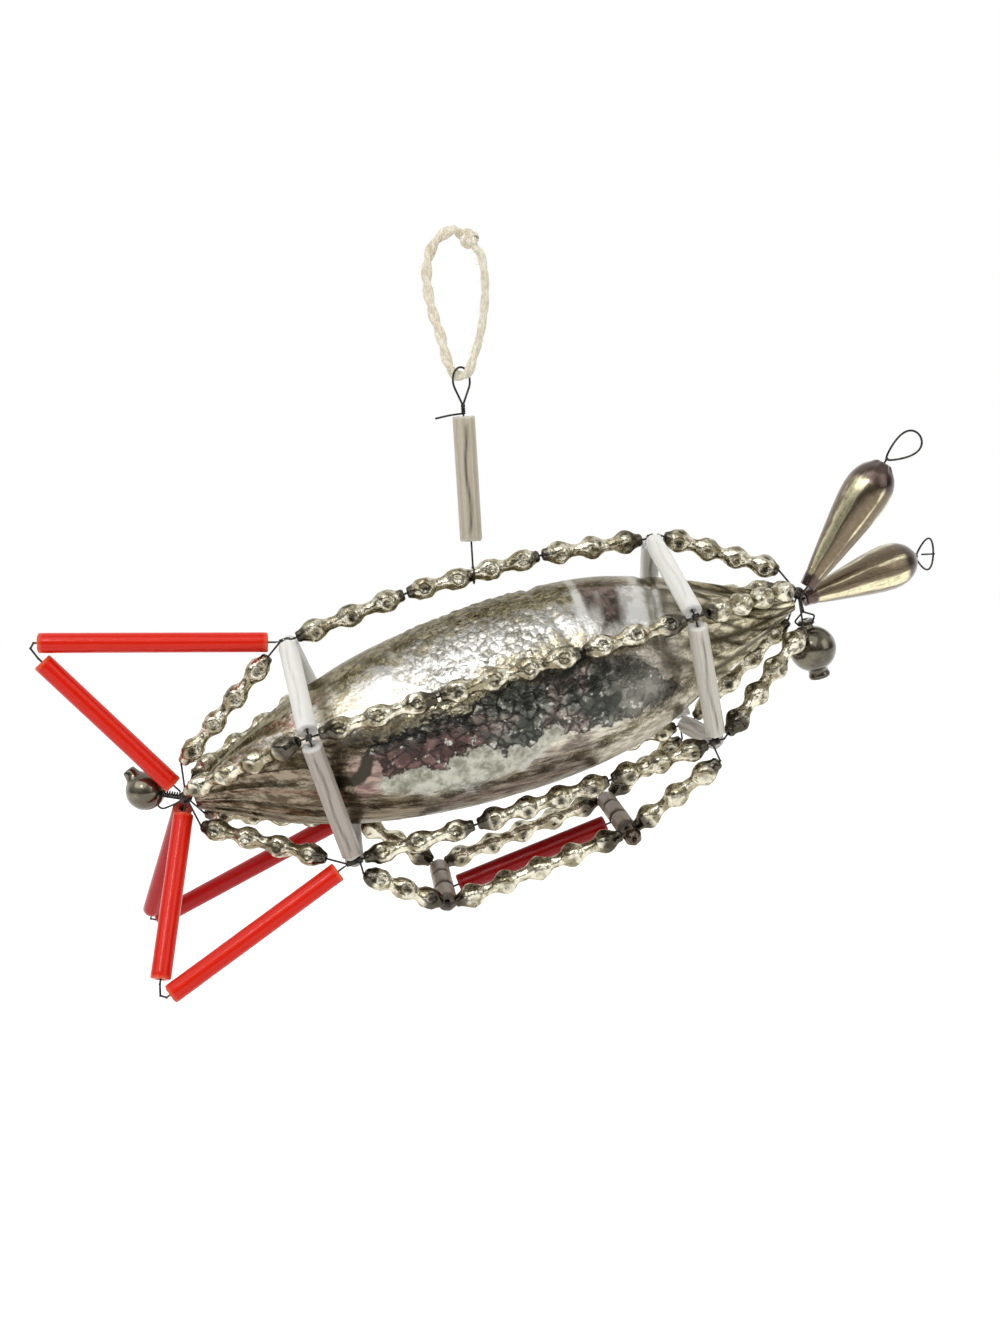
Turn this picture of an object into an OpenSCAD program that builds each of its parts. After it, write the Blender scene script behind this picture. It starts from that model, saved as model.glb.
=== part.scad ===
// Airship Christmas ornament: a silvered glass spindle in a cage of wired glass beads and tubes.
// Millimetres. +X points to the nose, -Y to the viewer, +Z up.
// The origin is the inside top of the string loop, where the ornament hangs.

/* [Ship] */
// Distance from the tail knot to the nose knot
ship_l = 135; // [130:1:145]
// Nose-up angle at which the ship hangs, in degrees
ship_pitch = 14; // [8:1:20]

/* [Envelope] */
// Largest diameter of the blown glass spindle
env_d = 41; // [37:0.5:41.5]
// Thickness of the blown glass
glass_wall = 0.6; // [0.5:0.05:0.9]
// Outside diameter of the drawn neck at each end
mouth_d = 4.4; // [4:0.1:5]
// Number of pleats round the nose cone
nose_pleats = 10; // [8:1:12]
// Depth of the nose pleats
pleat_depth = 0.7; // [0.3:0.1:0.9]
// Turn of the pleats along the whole spindle, in degrees
pleat_slant = 150; // [0:10:200]

/* [Wire] */
// Diameter of the binding wire
wire_d = 0.4; // [0.3:0.05:0.5]
// Diameter of the wire knots at the tail and the nose
knot_d = 2.6; // [2.2:0.1:3]

/* [Bead Strands] */
// Diameter of a node on the moulded beads
bead_d = 5.2; // [4.6:0.1:5.3]
// Width across the pressed flats of a node
bead_flat = 4.6; // [4.2:0.1:5]
// Diameter of the neck between two nodes
neck_d = 2.5; // [2.1:0.1:2.8]
// Diameter of the hole through a bead
bead_bore = 1; // [0.9:0.05:1.2]
// Thickness of the blown wall of a bead
bead_wall = 0.5; // [0.4:0.05:0.8]
// How far the hanger pulls the top strand outward
top_bow = 2.6; // [1.5:0.1:3.5]
// How far the other strands bow outward
side_bow = 0.7; // [0.6:0.1:1.5]

/* [Rings] */
// Place of the rear ring along the ship
rear_ring_u = 29.7; // [28:0.1:32]
// Distance of the rear ring's corners from the axis
rear_ring_r = 24.5; // [24:0.1:26]
// Place of the front ring along the ship
front_ring_u = 107.2; // [105:0.1:109]
// Distance of the front ring's corners from the axis
front_ring_r = 23.6; // [23:0.1:25]
// How far the front ring sits below the axis
front_ring_drop = 2.6; // [1.5:0.1:3]
// Turn of the front ring about the axis, in degrees
front_ring_turn = 6; // [0:0.5:8]
// Diameter of the glass tubes
tube_d = 4.1; // [3.6:0.1:4.2]
// Diameter of the hole through a glass tube
tube_bore = 1.2; // [1:0.1:1.6]

/* [Fins] */
// Distance of the top fin's point from the axis
top_fin_reach = 40.5; // [38:0.5:44]
// Distance of the near fin's point from the axis
near_fin_reach = 39; // [37:0.5:42]
// Distance of the far fin's point from the axis
far_fin_reach = 39.5; // [37:0.5:42]
// How far the fin points lie behind the tail knot
fin_rake = 19; // [16:0.5:22]

/* [Gondola] */
// Place of the gondola's rear corner along the ship
gondola_u = 44.2; // [43:0.1:46]
// Length of the gondola's floor
gondola_l = 40; // [38:0.5:42]
// Depth of the gondola's rear corner below the axis
gondola_drop = 36; // [35:0.5:38]
// How much higher the front corner is
gondola_rise = 2.4; // [1:0.1:3]
// Distance between the gondola's two rails
gondola_w = 25; // [24:0.5:30]
// Diameter of the matt beads between the rails
spacer_d = 4.4; // [4:0.1:4.6]

/* [Nose and Tail] */
// Length of a propeller blade
blade_l = 29.5; // [27:0.5:31]
// Largest diameter of a propeller blade
blade_d = 10.2; // [9:0.1:10.6]
// Thickness of a blade's glass, which balances the fins
blade_wall = 0.85; // [0.5:0.05:1.2]
// Diameter of the nose ball
nose_ball_d = 10; // [9:0.1:11]
// Diameter of the tail ball
tail_ball_d = 8.2; // [7:0.1:8.4]
// Diameter of the wire loop on the end of a blade
blade_loop_d = 8; // [6:0.5:9]

/* [Hanger] */
// Diameter of the hanger's glass tube
hanger_tube_d = 4.6; // [4:0.1:4.8]
// Length of the hanger's glass tube
hanger_tube_l = 25.2; // [22:0.2:28]
// Height of that tube above the strand that it hangs from
hanger_gap = 6.9; // [6.5:0.1:8]
// Width of the wire eye, from wire to wire
eye_w = 5.3; // [5:0.1:6]
// Height of the wire eye
eye_h = 7.5; // [7:0.1:8.5]
// Diameter of the cotton string
string_d = 2.2; // [1.8:0.1:2.3]

/* [Hidden] */
$fn = 48;

// Gap between pieces that bear on each other
seat = 0.3;
// Radial clearance of a piece that turns on its wire or is bound by a wire
run = 0.05;

// The five corners of a ring, in order: top, near upper, near lower, far lower, far upper
TOP = 0;
NEAR_UPPER = 1;
NEAR_LOWER = 2;
FAR_LOWER = 3;
FAR_UPPER = 4;
// A ring is its place, corner radius, drop below the axis, lean and turn,
// and how much further its near upper corner is turned up
REAR = [rear_ring_u, rear_ring_r, 0, 1, -2, 5];
FRONT = [front_ring_u, front_ring_r, front_ring_drop, 3, front_ring_turn, 0];

function unit(v) = v / norm(v);
function mix(a, b, f) = a + (b - a) * f;
function toward(a, b, d) = a + unit(b - a) * d;
function corner_angle(ring, k) = 90 - 72 * k + ring[4] + (k == NEAR_UPPER ? ring[5] : 0);
function outward(angle) = [0, -cos(angle), sin(angle)];
function corner(ring, k) =
    let (p = outward(corner_angle(ring, k)) * ring[1])
    [ring[0] + p.z * tan(ring[3]), p.y, p.z - ring[2]];

// Each corner keeps a straight stretch of strand wire, on which the other wires are bound
corner_run = 1.6;
collar_l = 0.8;
collar_step = 1.05;
collar_d = 1.3;
tail = [0, 0, 0];
// The strand and fin wires run into the knots' windings from here
knot_reach = knot_d / 2 + 0.2;
nose = [ship_l, 0, 0];

// Outline of the envelope: place along it and radius, both as a share of the whole
PROFILE = [
    [0, 0.107], [0.06, 0.32], [0.145, 0.585], [0.26, 0.81], [0.38, 0.945], [0.505, 1],
    [0.61, 0.976], [0.71, 0.873], [0.785, 0.715], [0.86, 0.51], [0.92, 0.33], [0.97, 0.185], [1, 0.107],
];
env_start = knot_d / 2 + 2 * seat;
env_l = ship_l - 2 * env_start;
// The spindle hangs on the core wire by the rim of its two necks
env_drop = mouth_d / 2 - glass_wall - wire_d / 2 - seat;

function span(t, i = 0) = i > len(PROFILE) - 3 || t <= PROFILE[i + 1][0] ? i : span(t, i + 1);
function slope(i) =
    let (a = PROFILE[max(i - 1, 0)], b = PROFILE[min(i + 1, len(PROFILE) - 1)])
    (b[1] - a[1]) / (b[0] - a[0]);
function hermite(a, b, da, db, s) =
    a * (2 * s ^ 3 - 3 * s ^ 2 + 1) + da * (s ^ 3 - 2 * s ^ 2 + s)
    + b * (3 * s ^ 2 - 2 * s ^ 3) + db * (s ^ 3 - s ^ 2);
function profile(t) =
    let (i = span(t), a = PROFILE[i], b = PROFILE[i + 1], h = b[0] - a[0])
    hermite(a[1], b[1], slope(i) * h, slope(i + 1) * h, (t - a[0]) / h);
function env_r(t) = max(profile(t) * env_d / 2, mouth_d / 2);
function fade(x) = let (c = min(max(x, 0), 1)) c * c * (3 - 2 * c);

// Pleats stand on both cones and die out toward the middle
function pleat_amount(t) =
    pleat_depth * min(env_r(t) / 9, 1) * (t > 0.5 ? fade((t - 0.7) / 0.12) : 0.6 * fade((0.3 - t) / 0.15))
    * fade(min(t, 1 - t) / 0.02);
function pleat_wave(t, a) =
    abs(sin((a + pleat_slant * t) * nose_pleats / 2 * (t > 0.5 ? 1 : 2)));

// Ends of the beads by the two knots, just clear of the envelope's two cones
tail_end_u = 1.5;
nose_end_u = 2.5;
TAIL_END_R = [6.9, 6.9, 6.9, 6.9, 6.9];
NOSE_END_R = [5.8, 6.2, 8.5, 6.4, 6.2];
function strand_tail_end(k) =
    [tail_end_u, 0, 0] + outward(corner_angle(REAR, k)) * TAIL_END_R[k];
function strand_nose_end(k) =
    [ship_l - nose_end_u, 0, 0] + outward(corner_angle(FRONT, k)) * NOSE_END_R[k];

function strand_bow(k) = k == TOP ? top_bow : side_bow;
function strand_angle(k) = (corner_angle(REAR, k) + corner_angle(FRONT, k)) / 2;
function strand_joint(k, f) =
    mix(corner(REAR, k), corner(FRONT, k), f) + outward(strand_angle(k)) * strand_bow(k);
JOINTS = [0.33, 0.7];
along_u = [corner_run, 0, 0];
function strand_points(k) = [
    strand_tail_end(k),
    corner(REAR, k) - along_u,
    corner(REAR, k) + along_u,
    strand_joint(k, JOINTS[0]),
    strand_joint(k, JOINTS[1]),
    corner(FRONT, k) - along_u,
    corner(FRONT, k) + along_u,
    strand_nose_end(k),
];
// Bare wire left at a bend and at a corner
bend_gap = 0.35;
corner_gap = 0.5;
nose_corner_gap = 1.4;
// The tail beads stop short of the ring where a fin's long tube goes by
TAIL_CORNER_GAP = [3.6, 0.7, 4.4, 4.4, 0.7];

// The hanger's hook goes round the middle neck of the top strand
hook = mix(strand_joint(TOP, JOINTS[0]), strand_joint(TOP, JOINTS[1]), 0.5);
hook_gap = 0.4;
hook_r = neck_d / 2 + hook_gap + wire_d / 2;
hanger_top = hanger_gap + hanger_tube_l;
// Twisted wire between the tube and the eye, and the loose end that sticks out of it
twist_up = 0.5;
twist_l = 1.6;
LOOSE_END = [-5.8, -0.6, -0.2];
eye_bottom = hanger_top + twist_up + twist_l;
eye_top = eye_bottom + eye_h;
eye_r = eye_w / 2;
eye_turn = 45;
string_gap = 0.4;
string_low = eye_top - wire_d / 2 - string_gap - string_d / 2;
string_h = 28;
string_turn = -20;
KNOT_AT = [3.3, 26.1];
string_knot_d = 1.85 * string_d;
hook_z = string_d / 2 - string_h - string_low;

// Route of the string in its own plane, from the knot over the top, down and back up
STRING = [
    [1.4, 27.2], [0, 28], [-3.4, 26.2], [-5.4, 22.5], [-5.8, 18], [-5.1, 13], [-3.7, 8],
    [-2.7, 3.2], [-1.5, 0.6], [0, 0], [1.5, 0.6], [2.8, 3.4], [4.5, 8], [5.6, 13],
    [6, 18], [5.6, 22.5], [4.6, 24.1],
];

// Fin points, where the centre lines of a fin's two tubes would meet
FIN_REACH = [top_fin_reach, near_fin_reach, far_fin_reach];
FIN_BACK = [0, 4, -4];
FIN_CORNER = [TOP, NEAR_LOWER, FAR_LOWER];
fin_end = 3.6;
fin_tip_gap = 3.1;
fin_corner_gap = 2.7;
// How far the wire runs on straight out of a fin's tube before it bends
fin_wire_out = 0.9;
function fin_start(i) = corner(REAR, FIN_CORNER[i]) - [collar_step, 0, 0];
function fin_tip(i) =
    [FIN_BACK[i] - fin_rake, 0, 0] + outward(corner_angle(REAR, FIN_CORNER[i])) * FIN_REACH[i];
function fin_angle(i) =
    acos(unit(fin_start(i) - fin_tip(i)) * unit(tail - fin_tip(i)));
// The short tube starts where its end clears the side of the long one
function fin_short_start(i) = (tube_d / 2 * (1 + cos(fin_angle(i))) + seat) / sin(fin_angle(i));

// Distance from a ring's corner at which two neighbouring tubes clear each other
ring_gap = tube_d / 2 / tan(54) + seat / 2;

// Gondola corners, rear and front, on the near side (-1) and the far side (1)
function gondola_corner(end, side) =
    [gondola_u + end * gondola_l, side * gondola_w / 2, end * gondola_rise - gondola_drop];
// Bare wire above the beads of a rear and of a front riser
HANG = [3, 4.3];
function gondola_bind(end, side) =
    corner(end == 0 ? REAR : FRONT, side < 0 ? NEAR_LOWER : FAR_LOWER)
    + [(end == 0 ? 1 : -1) * collar_step, 0, 0];
function gondola_hang(end, side) =
    gondola_bind(end, side)
    + outward(corner_angle(end == 0 ? REAR : FRONT, side < 0 ? NEAR_LOWER : FAR_LOWER)) * HANG[end];
rail_gap = 1.6;
spacer_gap = neck_d / 2 + bend_gap;
slot_gap = 0.2;
slot = wire_d + 2 * slot_gap;
spacer_l = (gondola_w - 2 * spacer_gap - slot - seat) / 3;
// The floor tube's wire is tied between the first and the second spacer bead
floor_y = -gondola_w / 2 + spacer_gap + spacer_l + slot / 2;
end_bead_d = 3.8;
end_bead_gap = 0.25;
end_bead_y = gondola_w / 2 + neck_d / 2 + end_bead_gap + end_bead_d / 2;
// How far the front cross wire sticks out of the end bead
end_stub = 0.3;
// Bare wire at each end of the floor tube, beyond the satin beads
floor_gap = 1;

// Propeller blades: foot and direction of each, from the nose knot
BLADE_FOOT = [[1.7, -2, 1.2], [1.5, 2, -2]];
BLADE_WAY = [unit([0.72, -0.1, 0.69]), unit([0.93, 0.25, -0.03])];
BLADE = [
    [0, 0.33], [0.1, 0.4], [0.25, 0.56], [0.4, 0.71], [0.55, 0.86], [0.67, 0.96], [0.76, 1],
    [0.84, 0.96], [0.9, 0.84], [0.95, 0.66], [0.985, 0.44], [1, 0.28],
];
// Wire loop on the end of each blade: the way it leans
LOOP_WAY = [unit([0.93, -0.15, 0.33]), unit([0.78, 0.6, -0.2])];
loop_gap = 1;

// The nose ball hangs by a wire that splits and grips the ball's neck
ball_hang = 12.6;
neck_ring_r = 1.65;
neck_ring_up = 0.9;
neck_h = 1.9;
split_up = 3.4;
split_w = 2.3;
// The neck stands clear of its wire, which lies under a small rim
neck_gap = 0.1;
rim_gap = 0.15;
rim_h = 0.4;
// Half height, lower radius and upper radius of the nub under the ball
NUB = [1.8, 1.8, 2.6];
tail_ball_at = [-7.9, 3.2, 3.2];
tail_ball_way = unit([-0.33, 0.05, 0.94]);
// Lower and upper diameter of the tail ball's nub, and its height over the ball
TAIL_NUB = [4.4, 2.6, 1.6];
// Bend of the wire between the tail knot and the tail ball
TAIL_BEND = [-2.6, 0.9, -0.9];

// Turns +Z to the line from a to b, and starts at a
module along(a, b) {
    d = b - a;
    translate(a)
        rotate([0, acos(d.z / norm(d)), atan2(d.y, d.x)])
            children();
}

// Places the ship's own frame, with the tail knot at its origin, in the hanging ornament
module hung() {
    translate([0, 0, hook_z])
        rotate([0, -ship_pitch, 0])
            translate(-hook)
                children();
}

// Straight lengths of wire, joined by a small ball at each bend
module wire(points) {
    last = len(points) - 1;
    trim = wire_d / 4;
    for (i = [0:last - 1]) {
        a = i == 0 ? 0 : trim;
        b = i == last - 1 ? 0 : trim;
        along(toward(points[i], points[i + 1], a), points[i + 1])
            cylinder(d = wire_d, h = norm(points[i + 1] - points[i]) - a - b);
    }
    for (i = [1:1:last - 1])
        bend_ball(points[i - 1], points[i], points[i + 1]);
}

// A ball at a bend, turned so that its poles and its seam face away from both wires
module bend_ball(from, at, to) {
    a = unit(from - at);
    b = unit(to - at);
    out = -unit(a + b + 0.001 * [a.z, a.x, a.y]);
    pole = unit(cross(a, out));
    side = cross(pole, out);
    multmatrix([
        [out.x, side.x, pole.x, at.x],
        [out.y, side.y, pole.y, at.y],
        [out.z, side.z, pole.z, at.z],
        [0, 0, 0, 1],
    ])
        sphere(d = wire_d * 1.3);
}

module drilled(d, bore, l) {
    difference() {
        cylinder(d = d, h = l);
        translate([0, 0, -1])
            cylinder(d = bore, h = l + 2);
    }
}

// A glass tube between two points, short of each by a gap
module tube_between(a, b, gap_a, gap_b) {
    along(toward(a, b, gap_a), b)
        drilled(tube_d, tube_bore, norm(b - a) - gap_a - gap_b);
}

// A moulded glass bead with a row of nodes, between two points
module bead_between(a, b, gap_a, gap_b, count) {
    l = norm(b - a) - gap_a - gap_b;
    along(toward(a, b, gap_a), b)
        difference() {
            union() {
                cylinder(d = neck_d, h = l);
                for (i = [0:count - 1])
                    translate([0, 0, (i + 0.5) * l / count])
                        intersection() {
                            sphere(d = bead_d);
                            cube([bead_flat, bead_flat, bead_d], center = true);
                        }
            }
            translate([0, 0, -1])
                cylinder(d = bead_bore, h = l + 2);
            for (i = [0:count - 1])
                translate([0, 0, (i + 0.5) * l / count])
                    sphere(d = bead_flat - 2 * bead_wall);
        }
}

// A turn of wire bound round a strand wire at a point
module collar(at) {
    translate(at)
        rotate([0, 90, 0])
            cylinder(d = collar_d, h = collar_l, center = true);
}

module collar_hole(at) {
    translate(at)
        rotate([0, 90, 0])
            cylinder(d = 1.2 * wire_d + 2 * run, h = 3 * collar_l, center = true);
}

module knot() {
    sphere(d = knot_d);
}

// A wire that ends on a loop: it stops in the small twist that closes the loop
module wire_to_loop(points, at) {
    last = points[len(points) - 1];
    wire(concat(points, [toward(at, last, wire_d * 0.6)]));
    translate(at)
        sphere(d = wire_d * 1.4);
}

function env_ring(t, wall) =
    let (segs = nose_pleats * 4)
    [for (i = [0:segs - 1])
        let (
            a = i * 360 / segs,
            r = env_r(t) - pleat_amount(t) * (wall > 0 ? 1 : pleat_wave(t, a)) - wall
        )
        [env_start + t * env_l, -r * cos(a), r * sin(a) - env_drop]];

module envelope() {
    segs = nose_pleats * 4;
    outer = 36;
    inner = 14;
    rings = concat(
        [for (i = [0:outer]) env_ring(0.5 - 0.5 * cos(180 * i / outer), 0)],
        [for (i = [inner:-1:0]) env_ring(0.5 - 0.5 * cos(180 * i / inner), glass_wall)]
    );
    points = [for (ring = rings, p = ring) p];
    count = len(rings);
    faces = [
        for (i = [0:count - 1], j = [0:segs - 1])
            let (
                a = i * segs + j,
                b = i * segs + (j + 1) % segs,
                c = (i + 1) % count * segs + (j + 1) % segs,
                d = (i + 1) % count * segs + j
            )
            each [[a, b, c], [a, c, d]]
    ];
    color("silver")
        hung()
            polyhedron(points, faces);
}

module core_wire() {
    color("dimgray")
        hung()
            wire([[knot_d / 2 + run, 0, 0], nose - [knot_d / 2 + run, 0, 0]]);
}

module strand_wires() {
    color("dimgray")
        hung()
            for (k = [0:4])
                wire(concat(
                    [toward(tail, strand_tail_end(k), knot_reach)],
                    strand_points(k),
                    [toward(nose, strand_nose_end(k), knot_reach)]
                ));
}

module strand_tail(k) {
    p = strand_points(k);
    color("darkkhaki")
        hung()
            bead_between(p[0], p[1], bend_gap, TAIL_CORNER_GAP[k], 4);
}

module strand_middle(k) {
    p = strand_points(k);
    color("darkkhaki")
        hung() {
            bead_between(p[2], p[3], corner_gap, bend_gap, 3);
            bead_between(p[3], p[4], bend_gap, bend_gap, 4);
            bead_between(p[4], p[5], bend_gap, corner_gap, 3);
        }
}

module strand_nose(k) {
    p = strand_points(k);
    color("darkkhaki")
        hung()
            bead_between(p[6], p[7], nose_corner_gap, bend_gap, 4);
}

module ring_tube(ring, k) {
    color("ghostwhite")
        hung()
            tube_between(corner(ring, k), corner(ring, k + 1), ring_gap, ring_gap);
}

module ring_wire(ring) {
    color("dimgray")
        hung()
            difference() {
                union()
                    for (k = [0:4]) {
                        wire([corner(ring, k), corner(ring, k + 1)]);
                        collar(corner(ring, k));
                    }
                for (k = [0:4])
                    collar_hole(corner(ring, k));
            }
}

module fin_long(i) {
    color("orangered")
        hung()
            tube_between(fin_tip(i), fin_start(i), fin_tip_gap, fin_corner_gap);
}

module fin_short(i) {
    color("orangered")
        hung()
            tube_between(fin_tip(i), tail, fin_short_start(i), fin_end);
}

module fin_wire(i) {
    a = toward(fin_tip(i), fin_start(i), fin_tip_gap - fin_wire_out);
    b = toward(fin_tip(i), tail, fin_short_start(i) - fin_wire_out);
    bend = toward(a, fin_tip(i), fin_wire_out) + (b - a) * 0.35;
    color("dimgray")
        hung()
            difference() {
                union() {
                    wire([fin_start(i), a, bend, b, toward(tail, b, knot_reach)]);
                    collar(fin_start(i));
                }
                collar_hole(fin_start(i));
            }
}

module gondola_wire() {
    sides = [-1, 1];
    reach = [0, end_bead_y - gondola_w / 2 + end_bead_d / 2 + end_stub, 0];
    floor_offset = [0, floor_y - gondola_corner(0, -1).y, 0];
    color("dimgray")
        hung()
            difference() {
                union() {
                    for (side = sides) {
                        wire([
                            gondola_bind(0, side), gondola_hang(0, side), gondola_corner(0, side),
                            gondola_corner(1, side), gondola_hang(1, side), gondola_bind(1, side),
                        ]);
                        for (end = [0, 1])
                            collar(gondola_bind(end, side));
                    }
                    wire([gondola_corner(0, -1), gondola_corner(0, 1)]);
                    wire([gondola_corner(1, -1) - reach, gondola_corner(1, 1)]);
                    wire([gondola_corner(0, -1) + floor_offset, gondola_corner(1, -1) + floor_offset]);
                }
                for (side = sides, end = [0, 1])
                    collar_hole(gondola_bind(end, side));
            }
}

module gondola_rail(side) {
    color("darkkhaki")
        hung()
            bead_between(gondola_corner(0, side), gondola_corner(1, side), rail_gap, rail_gap, 5);
}

module gondola_riser(end, side) {
    color("darkkhaki")
        hung()
            bead_between(gondola_hang(end, side), gondola_corner(end, side), bend_gap, rail_gap, 3);
}

module gondola_spacers(end) {
    first = -gondola_w / 2 + spacer_gap;
    second = first + spacer_l + slot;
    at = gondola_corner(end, 0);
    color("rosybrown")
        hung()
            for (y = [first, second, second + spacer_l + seat])
                translate([at.x, y, at.z])
                    rotate([-90, 0, 0])
                        drilled(spacer_d, bead_bore, spacer_l);
}

module gondola_spacers_front() {
    at = gondola_corner(1, 0);
    gondola_spacers(1);
    color("saddlebrown")
        hung()
            translate([at.x, -end_bead_y, at.z])
                rotate([90, 0, 0])
                    difference() {
                        sphere(d = end_bead_d);
                        cylinder(d = bead_bore, h = end_bead_d, center = true);
                    }
}

module gondola_floor_tube() {
    gap = spacer_d / 2 + floor_gap;
    floor_offset = [0, floor_y - gondola_corner(0, -1).y, 0];
    color("firebrick")
        hung()
            tube_between(
                gondola_corner(0, -1) + floor_offset, gondola_corner(1, -1) + floor_offset, gap, gap
            );
}

function blade_point(t) = [lookup(t, BLADE) * blade_d / 2, t * blade_l];

module blade(i) {
    foot = nose + BLADE_FOOT[i];
    steps = 24;
    outline = [for (s = [0:steps]) blade_point(s / steps)];
    hollow = [for (s = [2:steps - 1]) blade_point(s / steps) - [blade_wall, 0]];
    color("silver")
        hung()
            along(foot, foot + BLADE_WAY[i])
                difference() {
                    rotate_extrude()
                        polygon(concat([[0, 0]], outline, [[0, blade_l]]));
                    rotate_extrude()
                        polygon(concat([[0, hollow[0].y]], hollow, [[0, hollow[len(hollow) - 1].y]]));
                    translate([0, 0, -1])
                        cylinder(d = wire_d + 2 * run, h = blade_l + 2);
                }
}

module wire_ring(d) {
    rotate_extrude()
        translate([d / 2, 0])
            circle(d = wire_d);
}

module tail_knot() {
    mouth = tail_ball_at - tail_ball_way * (tail_ball_d / 2);
    color("dimgray")
        hung() {
            knot();
            wire([tail, TAIL_BEND, mouth - tail_ball_way, mouth + tail_ball_way * 2]);
        }
}

module nose_knot() {
    ring_z = nose_ball_d / 2 + neck_ring_up - ball_hang;
    rim_z = nose_ball_d / 2 + neck_h - ball_hang;
    split = [0, 0, nose_ball_d / 2 + split_up - ball_hang];
    color("dimgray")
        hung()
            translate(nose) {
                knot();
                for (i = [0, 1])
                    blade_wire(i);
                wire([[0, 0, 0], split]);
                translate(split)
                    sphere(d = wire_d * 1.7);
                for (side = [-1, 1])
                    wire_to_loop([split, [side * split_w, 0, rim_z]], [side * neck_ring_r, 0, ring_z]);
                translate([0, 0, ring_z])
                    wire_ring(2 * neck_ring_r);
            }
}

// The wire through a blade, from the nose knot to the loop on the blade's end
module blade_wire(i) {
    tip = BLADE_FOOT[i] + BLADE_WAY[i] * (blade_l + loop_gap);
    wire_to_loop([[0, 0, 0], BLADE_FOOT[i] - BLADE_WAY[i] * loop_gap], tip);
    along(tip, tip + LOOP_WAY[i])
        translate([0, 0, blade_loop_d / 2])
            rotate([90, 0, 0])
                wire_ring(blade_loop_d);
}

module nose_ball() {
    r = nose_ball_d / 2;
    neck_r = neck_ring_r - wire_d / 2 - neck_gap;
    rim_r = neck_ring_r - run;
    rim_z = neck_ring_up + wire_d / 2 + rim_gap;
    color("gray")
        hung()
            translate(nose - [0, 0, ball_hang])
                difference() {
                    union() {
                        sphere(d = nose_ball_d);
                        cylinder(r = neck_r, h = r + rim_z + rim_h / 2);
                        translate([0, 0, r + rim_z])
                            cylinder(r = rim_r, h = rim_h);
                        translate([0, 0, -r - NUB[0]])
                            cylinder(r1 = NUB[1], r2 = NUB[2], h = 2 * NUB[0]);
                    }
                    sphere(d = nose_ball_d - 2 * glass_wall);
                    translate([0, 0, r - 2 * glass_wall])
                        cylinder(r = neck_r - glass_wall, h = 2 * neck_h);
                }
}

module tail_ball() {
    color("gray")
        hung()
            along(tail_ball_at, tail_ball_at + tail_ball_way)
                difference() {
                    union() {
                        sphere(d = tail_ball_d);
                        cylinder(d1 = TAIL_NUB[0], d2 = TAIL_NUB[1], h = tail_ball_d / 2 + TAIL_NUB[2]);
                    }
                    sphere(d = tail_ball_d - 2 * glass_wall);
                    translate([0, 0, -tail_ball_d])
                        cylinder(d = bead_bore, h = tail_ball_d);
                }
}

module hanger_wire() {
    eye_c = eye_top - eye_r;
    half = acos(eye_r / (eye_c - eye_bottom));
    color("dimgray")
        translate([0, 0, hook_z]) {
            rotate([0, 90, 0])
                wire_ring(2 * hook_r);
            wire([[0, 0, hook_r], [0, 0, eye_bottom]]);
            translate([0, 0, hanger_top + twist_up])
                cylinder(d = 2 * wire_d, h = eye_bottom - hanger_top - twist_up);
            translate([0, 0, eye_bottom])
                sphere(d = 2.4 * wire_d);
            wire([[0, 0, eye_bottom], [0, 0, hanger_top] + LOOSE_END]);
            rotate([0, 0, eye_turn]) {
                translate([0, 0, eye_c])
                    rotate([90, 0, 0])
                        rotate([0, 0, half - 90])
                            rotate_extrude(angle = 360 - 2 * half)
                                translate([eye_r, 0])
                                    circle(d = wire_d);
                for (side = [-1, 1])
                    wire_to_loop(
                        [[0, 0, eye_bottom]], [side * eye_r * sin(half), 0, eye_c - eye_r * cos(half)]
                    );
            }
        }
}

module hanger_tube() {
    color("tan")
        translate([0, 0, hook_z + hanger_gap])
            drilled(hanger_tube_d, tube_bore, hanger_tube_l);
}

// The string's centre line bends smoothly through its points
function string_at(s) =
    let (
        n = len(STRING),
        i = min(floor(s), n - 2),
        f = s - i,
        a = STRING[max(i - 1, 0)],
        b = STRING[i],
        c = STRING[i + 1],
        d = STRING[min(i + 2, n - 1)]
    )
    hermite(b, c, (c - a) / 2, (d - b) / 2, f);

module string() {
    sides = 8;
    steps = 2 * (len(STRING) - 1);
    centre = [for (i = [0:steps]) string_at(i / 2)];
    ring_points = [
        for (i = [0:steps])
            let (
                way = unit(centre[min(i + 1, steps)] - centre[max(i - 1, 0)]),
                across = [-way.y, way.x]
            )
            for (j = [0:sides - 1])
                let (p = centre[i] + across * string_d / 2 * cos(j * 360 / sides))
                [p.x, string_d / 2 * sin(j * 360 / sides), p.y]
    ];
    faces = concat(
        [[for (j = [sides - 1:-1:0]) j]],
        [
            for (i = [0:steps - 1], j = [0:sides - 1])
                let (
                    a = i * sides + j,
                    b = i * sides + (j + 1) % sides
                )
                each [[a, b, b + sides], [a, b + sides, a + sides]]
        ],
        [[for (j = [0:sides - 1]) steps * sides + j]]
    );
    color("linen")
        translate([0, 0, hook_z + string_low])
            rotate([0, 0, string_turn])
                polyhedron(ring_points, faces);
}

module string_knot() {
    color("linen")
        translate([0, 0, hook_z + string_low])
            rotate([0, 0, string_turn])
                translate([KNOT_AT.x, 0, KNOT_AT.y])
                    sphere(d = string_knot_d);
}

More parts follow.
